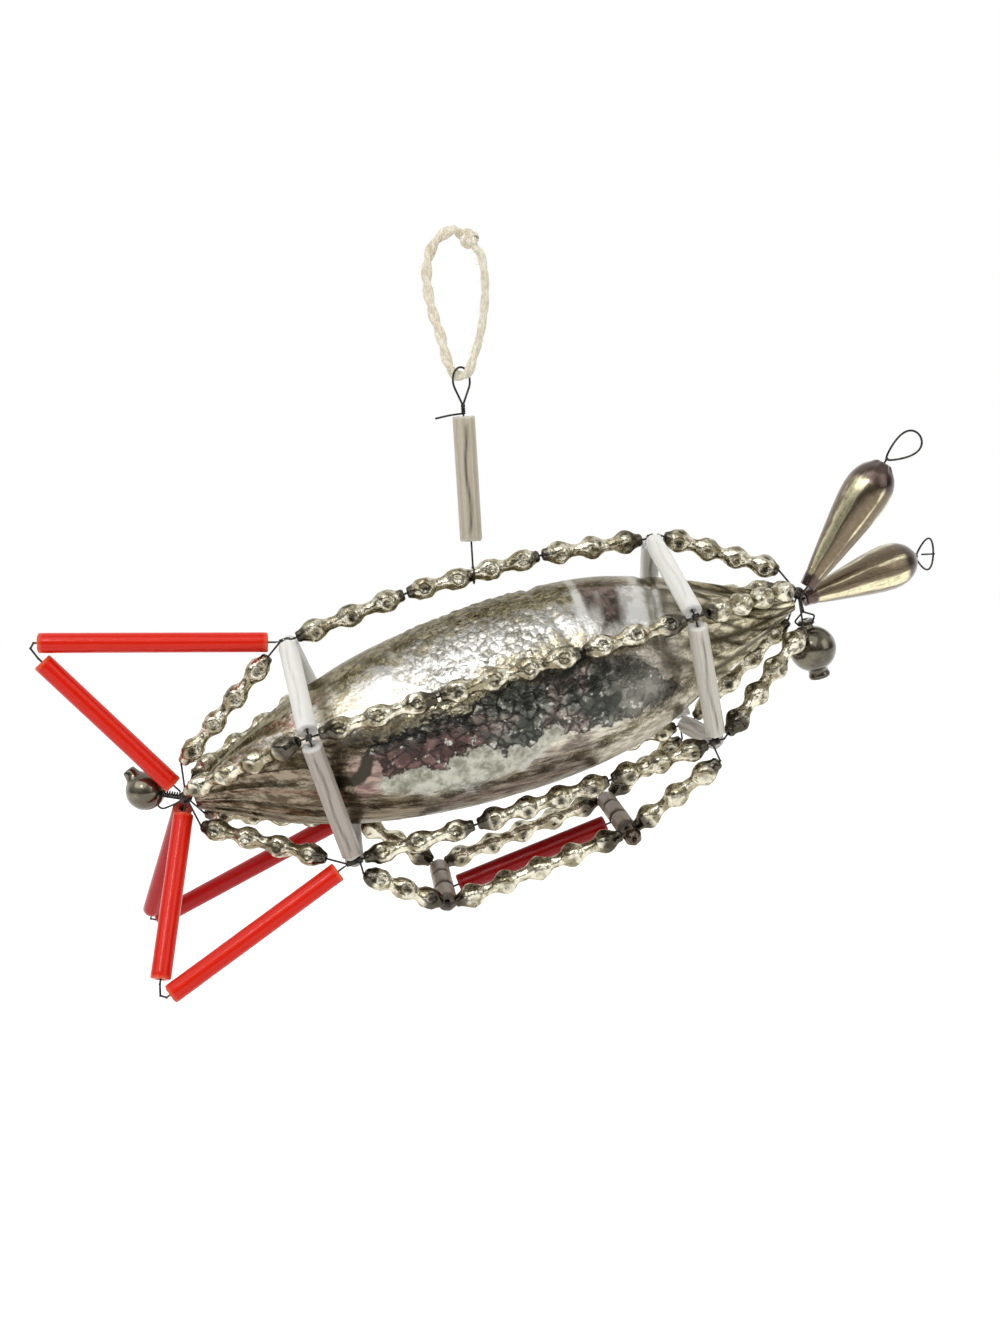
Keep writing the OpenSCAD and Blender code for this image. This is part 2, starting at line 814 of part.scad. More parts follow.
envelope();
core_wire();
strand_wires();
tail_knot();
nose_knot();
strand_tail(TOP);  // strand_top_tail
strand_middle(TOP);  // strand_top_middle
strand_nose(TOP);  // strand_top_nose
strand_tail(NEAR_UPPER);  // strand_near_upper_tail
strand_middle(NEAR_UPPER);  // strand_near_upper_middle
strand_nose(NEAR_UPPER);  // strand_near_upper_nose
strand_tail(NEAR_LOWER);  // strand_near_lower_tail
strand_middle(NEAR_LOWER);  // strand_near_lower_middle
strand_nose(NEAR_LOWER);  // strand_near_lower_nose
strand_tail(FAR_LOWER);  // strand_far_lower_tail
strand_middle(FAR_LOWER);  // strand_far_lower_middle
strand_nose(FAR_LOWER);  // strand_far_lower_nose
strand_tail(FAR_UPPER);  // strand_far_upper_tail
strand_middle(FAR_UPPER);  // strand_far_upper_middle
strand_nose(FAR_UPPER);  // strand_far_upper_nose
ring_tube(REAR, TOP);  // rear_tube_near_upper
ring_tube(REAR, NEAR_UPPER);  // rear_tube_near_lower
ring_tube(REAR, NEAR_LOWER);  // rear_tube_bottom
ring_tube(REAR, FAR_LOWER);  // rear_tube_far_lower
ring_tube(REAR, FAR_UPPER);  // rear_tube_far_upper
ring_wire(REAR);  // rear_ring_wire
ring_tube(FRONT, TOP);  // front_tube_near_upper
ring_tube(FRONT, NEAR_UPPER);  // front_tube_near_lower
ring_tube(FRONT, NEAR_LOWER);  // front_tube_bottom
ring_tube(FRONT, FAR_LOWER);  // front_tube_far_lower
ring_tube(FRONT, FAR_UPPER);  // front_tube_far_upper
ring_wire(FRONT);  // front_ring_wire
fin_long(0);  // fin_top_long
fin_short(0);  // fin_top_short
fin_wire(0);  // fin_top_wire
fin_long(1);  // fin_near_long
fin_short(1);  // fin_near_short
fin_wire(1);  // fin_near_wire
fin_long(2);  // fin_far_long
fin_short(2);  // fin_far_short
fin_wire(2);  // fin_far_wire
gondola_wire();
gondola_rail(-1);  // gondola_rail_near
gondola_rail(1);  // gondola_rail_far
gondola_riser(0, -1);  // gondola_riser_near_rear
gondola_riser(1, -1);  // gondola_riser_near_front
gondola_riser(0, 1);  // gondola_riser_far_rear
gondola_riser(1, 1);  // gondola_riser_far_front
gondola_spacers(0);  // gondola_spacers_rear
gondola_spacers_front();
gondola_floor_tube();
blade(0);  // blade_upper
blade(1);  // blade_lower
nose_ball();
tail_ball();
hanger_wire();
hanger_tube();
string();
string_knot();
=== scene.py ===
"""Airship Christmas ornament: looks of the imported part. Metres in the row frame; helper values in mm."""
import random
from math import acos, asin, atan2, cos, degrees, exp, pi, radians, sin, sqrt, tan, tau

import bmesh
import bpy
from mathutils import Matrix, Vector, noise


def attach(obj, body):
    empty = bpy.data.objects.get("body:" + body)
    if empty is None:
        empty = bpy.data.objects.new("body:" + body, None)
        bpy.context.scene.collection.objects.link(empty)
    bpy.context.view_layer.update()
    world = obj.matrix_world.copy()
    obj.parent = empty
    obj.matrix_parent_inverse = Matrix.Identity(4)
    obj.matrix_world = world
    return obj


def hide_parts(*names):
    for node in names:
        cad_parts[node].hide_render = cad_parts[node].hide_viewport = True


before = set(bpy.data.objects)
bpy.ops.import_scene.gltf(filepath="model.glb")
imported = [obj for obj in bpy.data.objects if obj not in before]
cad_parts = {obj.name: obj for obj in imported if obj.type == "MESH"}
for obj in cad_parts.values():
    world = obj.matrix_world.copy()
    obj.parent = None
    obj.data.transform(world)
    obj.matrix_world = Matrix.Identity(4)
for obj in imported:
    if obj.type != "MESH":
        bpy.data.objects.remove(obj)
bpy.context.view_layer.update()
MM = 0.001
rng = random.Random(1912)

# ---------------- values shared with part.scad
SHIP_L, PITCH = 135.0, radians(14)
ENV_D, KNOT_D, SEAT, WIRE_D, MOUTH_D, GLASS = 41.0, 2.6, 0.3, 0.4, 4.4, 0.6
BEAD_D, BEAD_FLAT, NECK_D, BEND_GAP = 5.2, 4.6, 2.5, 0.35
TUBE_D, TUBE_BORE, SPACER_D = 4.1, 1.2, 4.4
CORNER_RUN, CORNER_GAP, NOSE_GAP = 1.6, 0.5, 1.4
TAIL_GAP = [3.6, 0.7, 4.4, 4.4, 0.7]
TAIL_END_R, NOSE_END_R = [6.9] * 5, [5.8, 6.2, 8.5, 6.4, 6.2]
REAR = dict(u=29.7, r=24.5, drop=0.0, lean=1.0, turn=-2.0, lift=5.0)
FRONT = dict(u=107.2, r=23.6, drop=2.6, lean=3.0, turn=6.0, lift=0.0)
BOW = [2.6, 0.7, 0.7, 0.7, 0.7]
JOINTS_AT = (0.33, 0.7)
HOOK_Z, STRING_LOW = -66.9, 40.0
TOP, NEAR_UPPER, NEAR_LOWER, FAR_LOWER = range(4)
STRAND_NAMES = ["top", "near_upper", "near_lower", "far_lower", "far_upper"]
TUBE_NAMES = ["near_upper", "near_lower", "bottom", "far_lower", "far_upper"]
STRING_D, STRING_TURN = 2.2, radians(-20)
STRING = [
    (1.4, 27.2), (0, 28), (-3.4, 26.2), (-5.4, 22.5), (-5.8, 18), (-5.1, 13), (-3.7, 8),
    (-2.7, 3.2), (-1.5, 0.6), (0, 0), (1.5, 0.6), (2.8, 3.4), (4.5, 8), (5.6, 13),
    (6, 18), (5.6, 22.5), (4.6, 24.1),
]
KNOT_AT = (3.3, 26.1)
X, UP = Vector((1, 0, 0)), Vector((0, 0, 1))
TAIL, NOSE = Vector((0, 0, 0)), X * SHIP_L


def outward(angle):
    """Square to the ship's length: 90 is up, 0 is toward the camera."""
    a = radians(angle)
    return Vector((0, -cos(a), sin(a)))


def corner_angle(ring, k):
    return 90 - 72 * k + ring["turn"] + (ring["lift"] if k == NEAR_UPPER else 0)


def corner(ring, k):
    p = outward(corner_angle(ring, k)) * ring["r"]
    return Vector((ring["u"] + p.z * tan(radians(ring["lean"])), p.y, p.z - ring["drop"]))


def joint(k, f):
    """Where two middle beads of strand k meet, f of the way from ring to ring."""
    out = outward((corner_angle(REAR, k) + corner_angle(FRONT, k)) / 2) * BOW[k]
    return corner(REAR, k).lerp(corner(FRONT, k), f) + out


def strand_points(k):
    run = X * CORNER_RUN
    return [
        X * 1.5 + outward(corner_angle(REAR, k)) * TAIL_END_R[k],
        corner(REAR, k) - run, corner(REAR, k) + run, *(joint(k, f) for f in JOINTS_AT),
        corner(FRONT, k) - run, corner(FRONT, k) + run,
        X * (SHIP_L - 2.5) + outward(corner_angle(FRONT, k)) * NOSE_END_R[k],
    ]


HOOK = joint(TOP, JOINTS_AT[0]).lerp(joint(TOP, JOINTS_AT[1]), 0.5)
TILT = Matrix.Rotation(-PITCH, 3, "Y")


def hung(p):
    """Ship frame in millimetres to row frame in metres."""
    return (TILT @ (Vector(p) - HOOK) + UP * HOOK_Z) * MM


def hanger_place(p):
    """Hanger frame, with its origin in the hook, to row frame."""
    return (Vector(p) + UP * HOOK_Z) * MM


def string_place(p):
    """The string's own plane to row frame."""
    x, y, z = p
    c, s = cos(STRING_TURN), sin(STRING_TURN)
    return Vector((x * c - y * s, x * s + y * c, z + HOOK_Z + STRING_LOW)) * MM


def along_matrix(a, b):
    """Turns +Z to the way from a to b, as part.scad's along() does."""
    d = Vector(b) - Vector(a)
    lean = acos(max(-1.0, min(1.0, d.z / d.length)))
    return Matrix.Rotation(atan2(d.y, d.x), 3, "Z") @ Matrix.Rotation(lean, 3, "Y")


def spun(angle, r=1.0, z=0.0):
    """A point round +Z."""
    return Vector((r * cos(angle), r * sin(angle), z))


def angles(count):
    """Equal steps of one whole turn."""
    return [tau * s / count for s in range(count)]


def ball_arc(r, start, end, steps):
    """Points (radius, height) of a ball's outline, angles counted from its foot."""
    return [(r * sin(a), -r * cos(a)) for a in (start + (end - start) * i / steps for i in range(steps + 1))]


def toward(a, b, gap):
    a, b = Vector(a), Vector(b)
    return a + (b - a).normalized() * gap


def rounded(points, r=0.5, steps=4):
    """The same route with its bends rounded."""
    pts = [Vector(p) for p in points]
    out = [pts[0]]
    for before, at, after in zip(pts, pts[1:], pts[2:]):
        a = toward(at, before, min(r, (before - at).length / 3))
        b = toward(at, after, min(r, (after - at).length / 3))
        for s in range(steps + 1):
            t = s / steps
            out.append(a.lerp(at, t).lerp(at.lerp(b, t), t))
    return out + [pts[-1]]


def helix(a, b, r, turns, start=0.0, per_turn=14):
    """A winding round the line from a to b."""
    a, turn, length = Vector(a), along_matrix(a, b), (Vector(b) - Vector(a)).length
    steps = max(2, round(turns * per_turn))
    return [a + turn @ spun(start + tau * turns * s / steps, r, length * s / steps) for s in range(steps + 1)]


def curve(a, b, way_a, way_b, t):
    """A smooth curve from a to b that leaves along way_a and arrives along way_b."""
    return (a * (2 * t**3 - 3 * t**2 + 1) + way_a * (t**3 - 2 * t**2 + t)
            + b * (3 * t**2 - 2 * t**3) + way_b * (t**3 - t**2))


def bump_noise(p, scale, seed=0.0):
    return noise.noise(Vector(p) * scale + Vector((seed, seed * 1.7, -seed)))


def fade(x):
    """0 below 0, 1 above 1, smooth between."""
    c = min(max(x, 0.0), 1.0)
    return c * c * (3 - 2 * c)


def wave(angle):
    """0 at angle 0, 1 half a turn on."""
    return 0.5 - 0.5 * cos(angle)


def bell(x, wide):
    return exp(-((x / wide) ** 2))


def table_at(table, t):
    """Straight lines through a table of (t, value)."""
    for (t0, v0), (t1, v1) in zip(table, table[1:]):
        if t <= t1:
            return v0 + (v1 - v0) * max(0.0, (t - t0) / (t1 - t0))
    return table[-1][1]


def table_smooth(table, t, span=0.025):
    """The same table with its corners eased."""
    before, after = table_at(table, max(t - span, 0)), table_at(table, min(t + span, 1))
    return (before + 2 * table_at(table, t) + after) / 4


def new_object(name, data):
    thing = bpy.data.objects.new(name, data)
    bpy.context.scene.collection.objects.link(thing)
    return thing


# ---------------- camera
def make_camera():
    """Stands where the photograph was taken; fitted to the knots and ring corners."""
    azimuth, elevation, roll = radians(-6.47), radians(11), radians(-3.35)
    distance, aim, px_per_mm, picture_height = 275.0, Vector((66.55, 0, 22.01)), 4.8, 1333
    back = Vector((sin(azimuth) * cos(elevation), -cos(azimuth) * cos(elevation), sin(elevation)))
    right = UP.cross(back).normalized()
    up = back.cross(right)
    cam_right = cos(roll) * right + sin(roll) * up
    cam_up = cos(roll) * up - sin(roll) * right
    place = hung(TAIL) + (aim + back * distance) * MM
    data = bpy.data.cameras.new("camera")
    data.sensor_fit, data.sensor_height = "VERTICAL", 24
    data.lens = px_per_mm * distance / picture_height * data.sensor_height
    data.clip_start, data.clip_end = 0.01, 20
    cam = new_object("camera", data)
    cam.matrix_world = Matrix.Translation(place) @ Matrix((cam_right, cam_up, back)).transposed().to_4x4()
    bpy.context.scene.camera = cam


make_camera()


# ---------------- node helpers
class Nodes:
    """Adds and links the shader nodes of one material or world."""

    def __init__(self, owner):
        owner.use_nodes = True
        self.owner, self.tree = owner, owner.node_tree
        self.tree.nodes.clear()

    def add(self, kind, inputs=None, **props):
        node = self.tree.nodes.new("ShaderNode" + kind)
        for name, value in props.items():
            setattr(node, name, value)
        for name, value in (inputs or {}).items():
            self.put(node.inputs[name], value)
        return node

    def put(self, socket, value):
        if isinstance(value, bpy.types.NodeSocket):
            self.tree.links.new(value, socket)
        elif isinstance(value, (tuple, list)) and socket.type == "RGBA" and len(value) == 3:
            socket.default_value = (*value, 1)
        else:
            socket.default_value = value

    def close(self, kind, shader):
        self.add(kind, {"Surface": shader.outputs[0]})

    def math(self, op, a, b, clamp=False):
        return self.add("Math", {0: a, 1: b}, operation=op, use_clamp=clamp).outputs[0]

    def times(self, a, b, clamp=False):
        return self.math("MULTIPLY", a, b, clamp)

    def plus(self, a, b, clamp=False):
        return self.math("ADD", a, b, clamp)

    def minus(self, a, b):
        return self.math("SUBTRACT", a, b)

    def swing(self, value, amount):
        """Noise as a change to both sides of 0."""
        return self.times(self.minus(value, 0.5), amount)

    def ramp(self, value, low, high):
        """0 at low, 1 at high, smooth between."""
        limits = {"Value": value, "From Min": low, "From Max": high}
        return self.add("MapRange", limits, interpolation_type="SMOOTHSTEP").outputs["Result"]

    def spread(self, value, low, high):
        """low where value is 0, high where it is 1."""
        return self.add("MapRange", {"Value": value, "To Min": low, "To Max": high}).outputs["Result"]

    def mix(self, factor, a, b):
        return self.add("Mix", {"Factor": factor, 6: a, 7: b}, data_type="RGBA").outputs[2]

    def two(self, value, a, b, low=0.4, high=0.6):
        """Colour a where value is below low, b where it is above high."""
        return self.mix(self.ramp(value, low, high), a, b)

    def noise(self, vector, scale, detail=3.0, rough=0.55):
        look = {"Vector": vector, "Scale": scale, "Detail": detail, "Roughness": rough}
        return self.add("TexNoise", look).outputs["Fac"]

    def cells(self, vector, scale):
        """Cells: the closeness to the cell's edge, the rise to its middle and its own random value."""
        place = {"Vector": vector, "Scale": scale}
        edge = self.add("TexVoronoi", place, feature="DISTANCE_TO_EDGE").outputs["Distance"]
        whole = self.add("TexVoronoi", place, feature="F1").outputs
        own = self.add("SeparateColor", {0: whole["Color"]}).outputs[0]
        return self.ramp(edge, 0.2, 0.0), self.minus(0.8, whole["Distance"]), own

    def shifted(self, vector, scale, reach):
        wander = self.add("TexNoise", {"Vector": vector, "Scale": scale}).outputs["Color"]
        return self.add("VectorMath", {0: wander, 1: (reach,) * 3, 2: vector}, operation="MULTIPLY_ADD").outputs[0]

    def stretched(self, vector, scale):
        return self.add("Mapping", {"Vector": vector, "Scale": scale}).outputs["Vector"]

    def joined(self, x, y, z=0.0):
        return self.add("CombineXYZ", {"X": x, "Y": y, "Z": z}).outputs[0]

    def attribute(self, name):
        return self.add("Attribute", attribute_name=name).outputs["Fac"]

    def bump(self, height, strength, distance):
        look = {"Height": height, "Strength": strength, "Distance": distance}
        return self.add("Bump", look).outputs["Normal"]


MAT = {}


def new_material(name):
    n = Nodes(bpy.data.materials.new(name))
    MAT[name] = n.owner
    return n, n.add("TexCoord").outputs["Object"]


def close_material(n, colour, rough, normal, **more):
    """more holds further sockets of the Principled shader, each space in their names written as _."""
    inputs = {"Base Color": colour, "Roughness": rough, "Normal": normal}
    inputs.update((name.replace("_", " "), value) for name, value in more.items())
    n.close("OutputMaterial", n.add("BsdfPrincipled", inputs))


def bead_material(name, light, shade, dark):
    """Silvered moulded glass: champagne with olive shadows, worn dark at the ends, with painted shade in the pits of
    the nodes.
    """
    n, co = new_material(name)
    wear, dimple = n.attribute("wear"), n.attribute("dimple")
    cloud, fine = n.noise(co, 420, 4, 0.6), n.noise(co, 1500, 3, 0.6)
    base = n.two(cloud, shade, light, 0.42, 0.58)
    spots = n.ramp(n.noise(co, 520), 0.57, 0.66)
    base = n.mix(n.times(spots, 0.7), base, dark)
    # the pits of the nodes are painted darker: painted shade in the recesses
    pit_shaded_colour = n.mix(n.times(dimple, n.ramp(cloud, 0.15, 0.45), True), base, dark)
    worn = n.plus(wear, n.swing(cloud, 1.1))
    colour = n.mix(n.times(n.ramp(worn, 0.3, 0.85), 0.93), pit_shaded_colour, dark)
    height = n.plus(n.noise(co, 560, 2), n.times(fine, 0.2))
    close_material(
        n, colour, n.spread(fine, 0.05, 0.17), n.bump(height, 0.6, 0.0006),
        Metallic=0.96, Specular_Tint=(0.7, 0.66, 0.55), Coat_Weight=0.12, Coat_Roughness=0.06)


def envelope_material():
    """Silvered spindle. Each painted zone comes from the mesh as its depth inside the zone's edge."""
    n, co = new_material("silvered_glass")
    big, mid, fine = n.noise(co, 90, 3, 0.6), n.noise(co, 300, 4, 0.6), n.noise(co, 1500, 4, 0.65)
    streak = n.noise(n.stretched(co, (130, 950, 950)), 1.0, 4, 0.65)
    hammer = n.attribute("hammer")
    # small cells for the silver, large ones for the dark band; the cells' edges lie in the creases between the dents
    # and are painted darker as shade
    crease_shade_s, dome_s, own_s = n.cells(n.shifted(n.shifted(co, 420, 0.0016), 1400, 0.0005), 590)
    crease_shade_l, dome_l, own_l = n.cells(n.shifted(n.shifted(co, 300, 0.0024), 1100, 0.0008), 380)
    own_l = n.plus(n.times(own_l, 0.5), n.times(n.ramp(mid, 0.38, 0.62), 0.5))
    own_s = n.plus(n.times(own_s, 0.6), n.times(n.ramp(fine, 0.38, 0.62), 0.4))
    crease_shade_l, crease_shade_s = n.times(crease_shade_l, n.ramp(mid, 0.36, 0.52)), n.times(crease_shade_s, n.ramp(mid, 0.62, 0.42))
    ragged = n.plus(n.swing(mid, 0.24), n.swing(own_l, 0.09))

    def zone(name, soft, wobble=1.0):
        return n.ramp(n.plus(n.attribute(name), n.times(ragged, wobble)), -soft, soft)

    def part(weight, share):
        return n.times(weight, share, True)

    silver = n.two(mid, (0.47, 0.455, 0.41), (0.74, 0.735, 0.715))
    silver = n.mix(part(n.times(n.ramp(own_s, 0.5, 0.95), hammer), 0.55), silver, (0.26, 0.245, 0.2))
    # painted shade in the creases between the small cells
    silver = n.mix(part(n.times(crease_shade_s, hammer), 0.8), silver, (0.15, 0.14, 0.11))
    # olive paints the top edge: a painted dark reflection along the grazing top edge, mottled
    olive = n.two(own_s, (0.13, 0.11, 0.065), (0.4, 0.355, 0.235), 0.2, 0.9)
    # the olive's creases take painted shade too
    olive = n.mix(part(crease_shade_s, 0.4), olive, (0.08, 0.07, 0.045))
    pebble = n.two(mid, (0.2, 0.2, 0.15), (0.46, 0.455, 0.385), 0.36, 0.64)
    pebble = n.mix(part(n.ramp(own_s, 0.45, 0.9), 0.4), pebble, (0.58, 0.575, 0.5))
    # painted shade in the creases between the pale strip's pebbles
    pebble = n.mix(part(crease_shade_s, 0.35), pebble, (0.17, 0.165, 0.125))

    layers = [  # zone, softness and wobble of its edge, share of the paint (None is all of it), paint
        ("tail", 0.2, 1.0, None, n.two(streak, (0.4, 0.345, 0.225), (0.8, 0.775, 0.68))),
        # the top edge: painted dark reflection, in mottled olive
        ("rim", 0.11, 1.8, None, olive),
        ("fringe", 0.05, 1.2, 0.85, n.two(own_s, (0.2, 0.17, 0.1), (0.6, 0.54, 0.38), 0.2, 0.9)),
        ("mist", 0.14, 1.0, 0.9, n.two(streak, (0.185, 0.16, 0.125), (0.41, 0.37, 0.3))),
        ("lower", 0.05, 1.0, None, n.two(streak, (0.3, 0.265, 0.205), (0.62, 0.58, 0.48))),
        # the underside: brown tarnish tone, partly painted dark reflection
        ("belly", 0.04, 1.0, None, n.two(streak, (0.13, 0.105, 0.085), (0.36, 0.31, 0.25))),
        # the tail's lower half: brown tarnish tone, partly painted dark reflection of the underside
        ("tail_low", 0.1, 0.6, None, n.two(streak, (0.085, 0.063, 0.038), (0.27, 0.225, 0.16))),
        ("cone", 0.22, 0.6, None, n.two(streak, (0.24, 0.205, 0.125), (0.7, 0.64, 0.47))),
        # painted shade in the valleys of the cone's pleats, and along a steeper set of painted creases
        ("cone", 0.22, 0.3, n.attribute("valley"), (0.05, 0.04, 0.02)),
        ("stain", 0.1, 1.0, None, n.two(mid, (0.05, 0.036, 0.03), (0.23, 0.175, 0.15))),
        ("gleam", 0.14, 0.6, 0.8, (0.76, 0.745, 0.7)),
        ("blush", 0.08, 0.8, None, n.two(streak, (0.16, 0.1, 0.085), (0.37, 0.27, 0.225))),
        ("strip", 0.04, 0.5, None, pebble),
        ("stroke", 0.02, 0.25, None, (0.04, 0.034, 0.024)),
    ]
    colour = silver
    for name, soft, wobble, share, paint in layers:
        weight = zone(name, soft, wobble)
        colour = n.mix(weight if share is None else part(weight, share), colour, paint)

    dark = n.two(own_l, (0.036, 0.039, 0.033), (0.17, 0.175, 0.15), 0.15, 0.95)
    dark = n.two(big, dark, n.two(mid, (0.07, 0.058, 0.05), (0.3, 0.25, 0.22)), 0.52, 0.62)
    dark = n.mix(zone("faded", 0.3), dark, n.two(own_l, (0.085, 0.083, 0.07), (0.22, 0.212, 0.18), 0.1, 0.95))
    dark = n.mix(zone("rosy", 0.1, 1.2), dark, n.two(own_l, (0.045, 0.026, 0.024), (0.155, 0.092, 0.082), 0.2, 0.9))
    # painted shade in the creases between the band's large cells, less where the band fades
    band_crease_shade = n.times(crease_shade_l, n.minus(1.0, zone("faded", 0.4)))
    dark = n.mix(part(band_crease_shade, 0.85), dark, (0.014, 0.013, 0.011))
    # silver flecks in the dark band: painted glints
    painted_glint = n.times(n.ramp(n.noise(co, 800), 0.58, 0.66), n.ramp(mid, 0.46, 0.58))
    dark = n.mix(part(painted_glint, 0.85), dark, (0.52, 0.51, 0.45))
    band = zone("band", 0.025)
    outline = part(band, n.minus(1.0, zone("band", 0.055)))
    colour = n.mix(band, colour, n.mix(part(outline, 2.5), dark, (0.01, 0.009, 0.008)))

    rise = n.plus(n.times(dome_s, n.minus(1.0, band)), n.times(dome_l, band))
    height = n.plus(n.plus(n.times(mid, 0.6), n.times(fine, 0.22)), n.times(rise, hammer))
    close_material(
        n, colour, n.spread(fine, 0.09, 0.24), n.bump(height, 0.6, 0.0006),
        Metallic=0.94, Specular_Tint=(0.62, 0.59, 0.52), Coat_Weight=0.15, Coat_Roughness=0.06)


def blade_material():
    """Drawn glass with painted golden highlight stripes down the drop, brown at both its ends."""
    n, co = new_material("blade_glass")
    along, line, gold = n.attribute("along"), n.attribute("line"), n.attribute("gold")
    cloud, fine = n.noise(co, 200, 4, 0.6), n.noise(co, 1300, 4, 0.65)
    streak = n.noise(n.joined(line, n.times(along, 0.5), n.times(cloud, 0.1)), 9.0, 4, 0.6)
    brush = n.noise(n.joined(line, n.times(along, 0.12), n.times(cloud, 0.02)), 55.0, 3, 0.6)
    # the bright golden tone follows the painted highlight stripes
    shown = n.plus(gold, n.swing(streak, 1.1))
    base = n.two(shown, (0.155, 0.115, 0.07), (0.8, 0.74, 0.48), 0.25, 0.65)
    base = n.mix(n.times(n.ramp(fine, 0.5, 0.7), 0.5), base, (0.3, 0.25, 0.16))
    ends = n.plus(n.ramp(along, 0.11, 0.07), n.ramp(along, 0.8, 0.86))
    ends = n.plus(ends, n.swing(cloud, 0.5), True)
    colour = n.mix(ends, base, (0.085, 0.055, 0.048))
    colour = n.mix(n.times(n.ramp(brush, 0.5, 0.68), 0.4), colour, (0.19, 0.15, 0.085))
    close_material(
        n, colour, 0.13, n.bump(brush, 0.2, 0.0003), Metallic=0.95, Coat_Weight=0.4, Coat_Roughness=0.04)


def ball_material(name, dark, light):
    n, co = new_material(name)
    colour = n.two(n.noise(co, 260, 4, 0.6), dark, light, 0.4, 0.65)
    close_material(
        n, colour, 0.14, n.bump(n.noise(co, 700), 0.25, 0.0003), Metallic=0.85, Coat_Weight=0.7, Coat_Roughness=0.04)


def tube_material(name, base, tint, rim, rough, clear, sub=0.0, shine=0.4):
    """Drawn glass tube: colour in soft lengthwise streaks, and a paler, rougher cut end."""
    n, co = new_material(name)
    ends, line, core = n.attribute("rim"), n.attribute("line"), n.attribute("core")
    cloud, scratch = n.noise(co, 300, 3, 0.6), n.noise(co, 1700, 4, 0.65)
    streak = n.noise(n.joined(line, n.times(cloud, 0.2)), 7.0, 3, 0.6)
    body = n.two(streak, base, tint, 0.35, 0.65)
    colour = n.two(n.plus(ends, n.times(cloud, 0.3)), body, rim, 0.55, 1.0)
    # a darker line painted along the side facing the front: the wire inside as seen through the glass
    colour = n.mix(core, colour, (0.1, 0.085, 0.065))
    close_material(
        n, colour, n.spread(scratch, rough * 0.8, rough * 1.25), n.bump(scratch, 0.18, 0.0002),
        IOR=1.5, Transmission_Weight=clear, Specular_IOR_Level=shine,
        Subsurface_Weight=sub, Subsurface_Radius=(1.0, 0.9, 0.8), Subsurface_Scale=0.0012)


def wire_material():
    n, co = new_material("binding_wire")
    spot = n.noise(co, 900, 4, 0.65)
    colour = n.two(spot, (0.016, 0.014, 0.013), (0.075, 0.066, 0.055), 0.42, 0.62)
    close_material(n, colour, 0.42, n.bump(spot, 0.4, 0.0001), Metallic=0.7)


def string_material():
    n, co = new_material("cotton")
    fibre = n.noise(n.stretched(co, (2600, 2600, 900)), 1.0, 4, 0.7)
    soil = n.noise(co, 240, 3, 0.6)
    colour = n.two(fibre, (0.66, 0.58, 0.42), (0.88, 0.83, 0.7), 0.35, 0.65)
    colour = n.mix(n.times(n.ramp(soil, 0.5, 0.7), 0.5), colour, (0.46, 0.37, 0.22))
    close_material(
        n, colour, 0.92, n.bump(fibre, 0.7, 0.0003),
        Sheen_Weight=0.3, Sheen_Roughness=0.5, Subsurface_Weight=0.15, Subsurface_Scale=0.001)


envelope_material()
blade_material()
wire_material()
string_material()
bead_material("champagne_beads", (0.74, 0.7, 0.56), (0.27, 0.235, 0.15), (0.045, 0.038, 0.028))
bead_material("end_bead", (0.16, 0.12, 0.09), (0.07, 0.055, 0.045), (0.03, 0.025, 0.02))
ball_material("smoky_glass", (0.07, 0.059, 0.038), (0.165, 0.145, 0.1))
ball_material("tail_glass", (0.085, 0.072, 0.048), (0.22, 0.195, 0.14))
TUBES = [  # name, two tones, cut end, roughness, clearness, light inside it and shine
    ("milky_tubes", (0.88, 0.87, 0.815), (0.95, 0.94, 0.89), (0.93, 0.92, 0.88), 0.34, 0.25, 0.3),
    # the lower ring tubes: darker copies of the milky glass, painted shade
    ("milky_brown_shaded", (0.42, 0.365, 0.31), (0.54, 0.49, 0.43), (0.72, 0.7, 0.66), 0.32, 0.2, 0.2),
    ("milky_grey_shaded", (0.58, 0.54, 0.46), (0.7, 0.665, 0.59), (0.8, 0.78, 0.72), 0.32, 0.2, 0.2),
    ("red_tubes", (0.59, 0.011, 0.002), (0.68, 0.016, 0.003), (0.72, 0.08, 0.03), 0.1, 0.0, 0.0, 0.22),
    ("crimson_tubes", (0.36, 0.004, 0.004), (0.46, 0.008, 0.007), (0.55, 0.06, 0.04), 0.12, 0.0, 0.0, 0.2),
    ("dark_red_tube", (0.22, 0.002, 0.003), (0.3, 0.004, 0.005), (0.36, 0.04, 0.03), 0.15, 0.0, 0.0, 0.2),
    ("matt_beads", (0.27, 0.205, 0.15), (0.4, 0.32, 0.245), (0.13, 0.1, 0.08), 0.36, 0.1, 0.1),
    ("beige_tube", (0.5, 0.44, 0.335), (0.66, 0.6, 0.48), (0.7, 0.66, 0.57), 0.3, 0.3, 0.15),
]
for tube in TUBES:
    tube_material(*tube)


# ---------------- light and floor
FLOOR_Z, FLOOR_LIFT, FLOOR_HALF = -0.175, 0.3, 3.0
ROOM, ROOM_TOP, WHITE = (0.16, 0.155, 0.15), (0.72, 0.72, 0.72), (1.0, 1.0, 1.0)
BACKDROP_Y = (-0.05, 0.45)


def make_world():
    """A white backdrop behind the ornament, and a dimmer room, paler toward its top, in front of it."""
    world = bpy.data.worlds.new("studio")
    bpy.context.scene.world = world
    n = Nodes(world)
    way = n.add("SeparateXYZ", {"Vector": n.add("TexCoord").outputs["Generated"]}).outputs
    room = n.two(way["Z"], ROOM, ROOM_TOP, 0.05, 0.65)
    colour = n.two(way["Y"], room, WHITE, *BACKDROP_Y)
    n.close("OutputWorld", n.add("Background", {"Color": colour, "Strength": 1.0}))


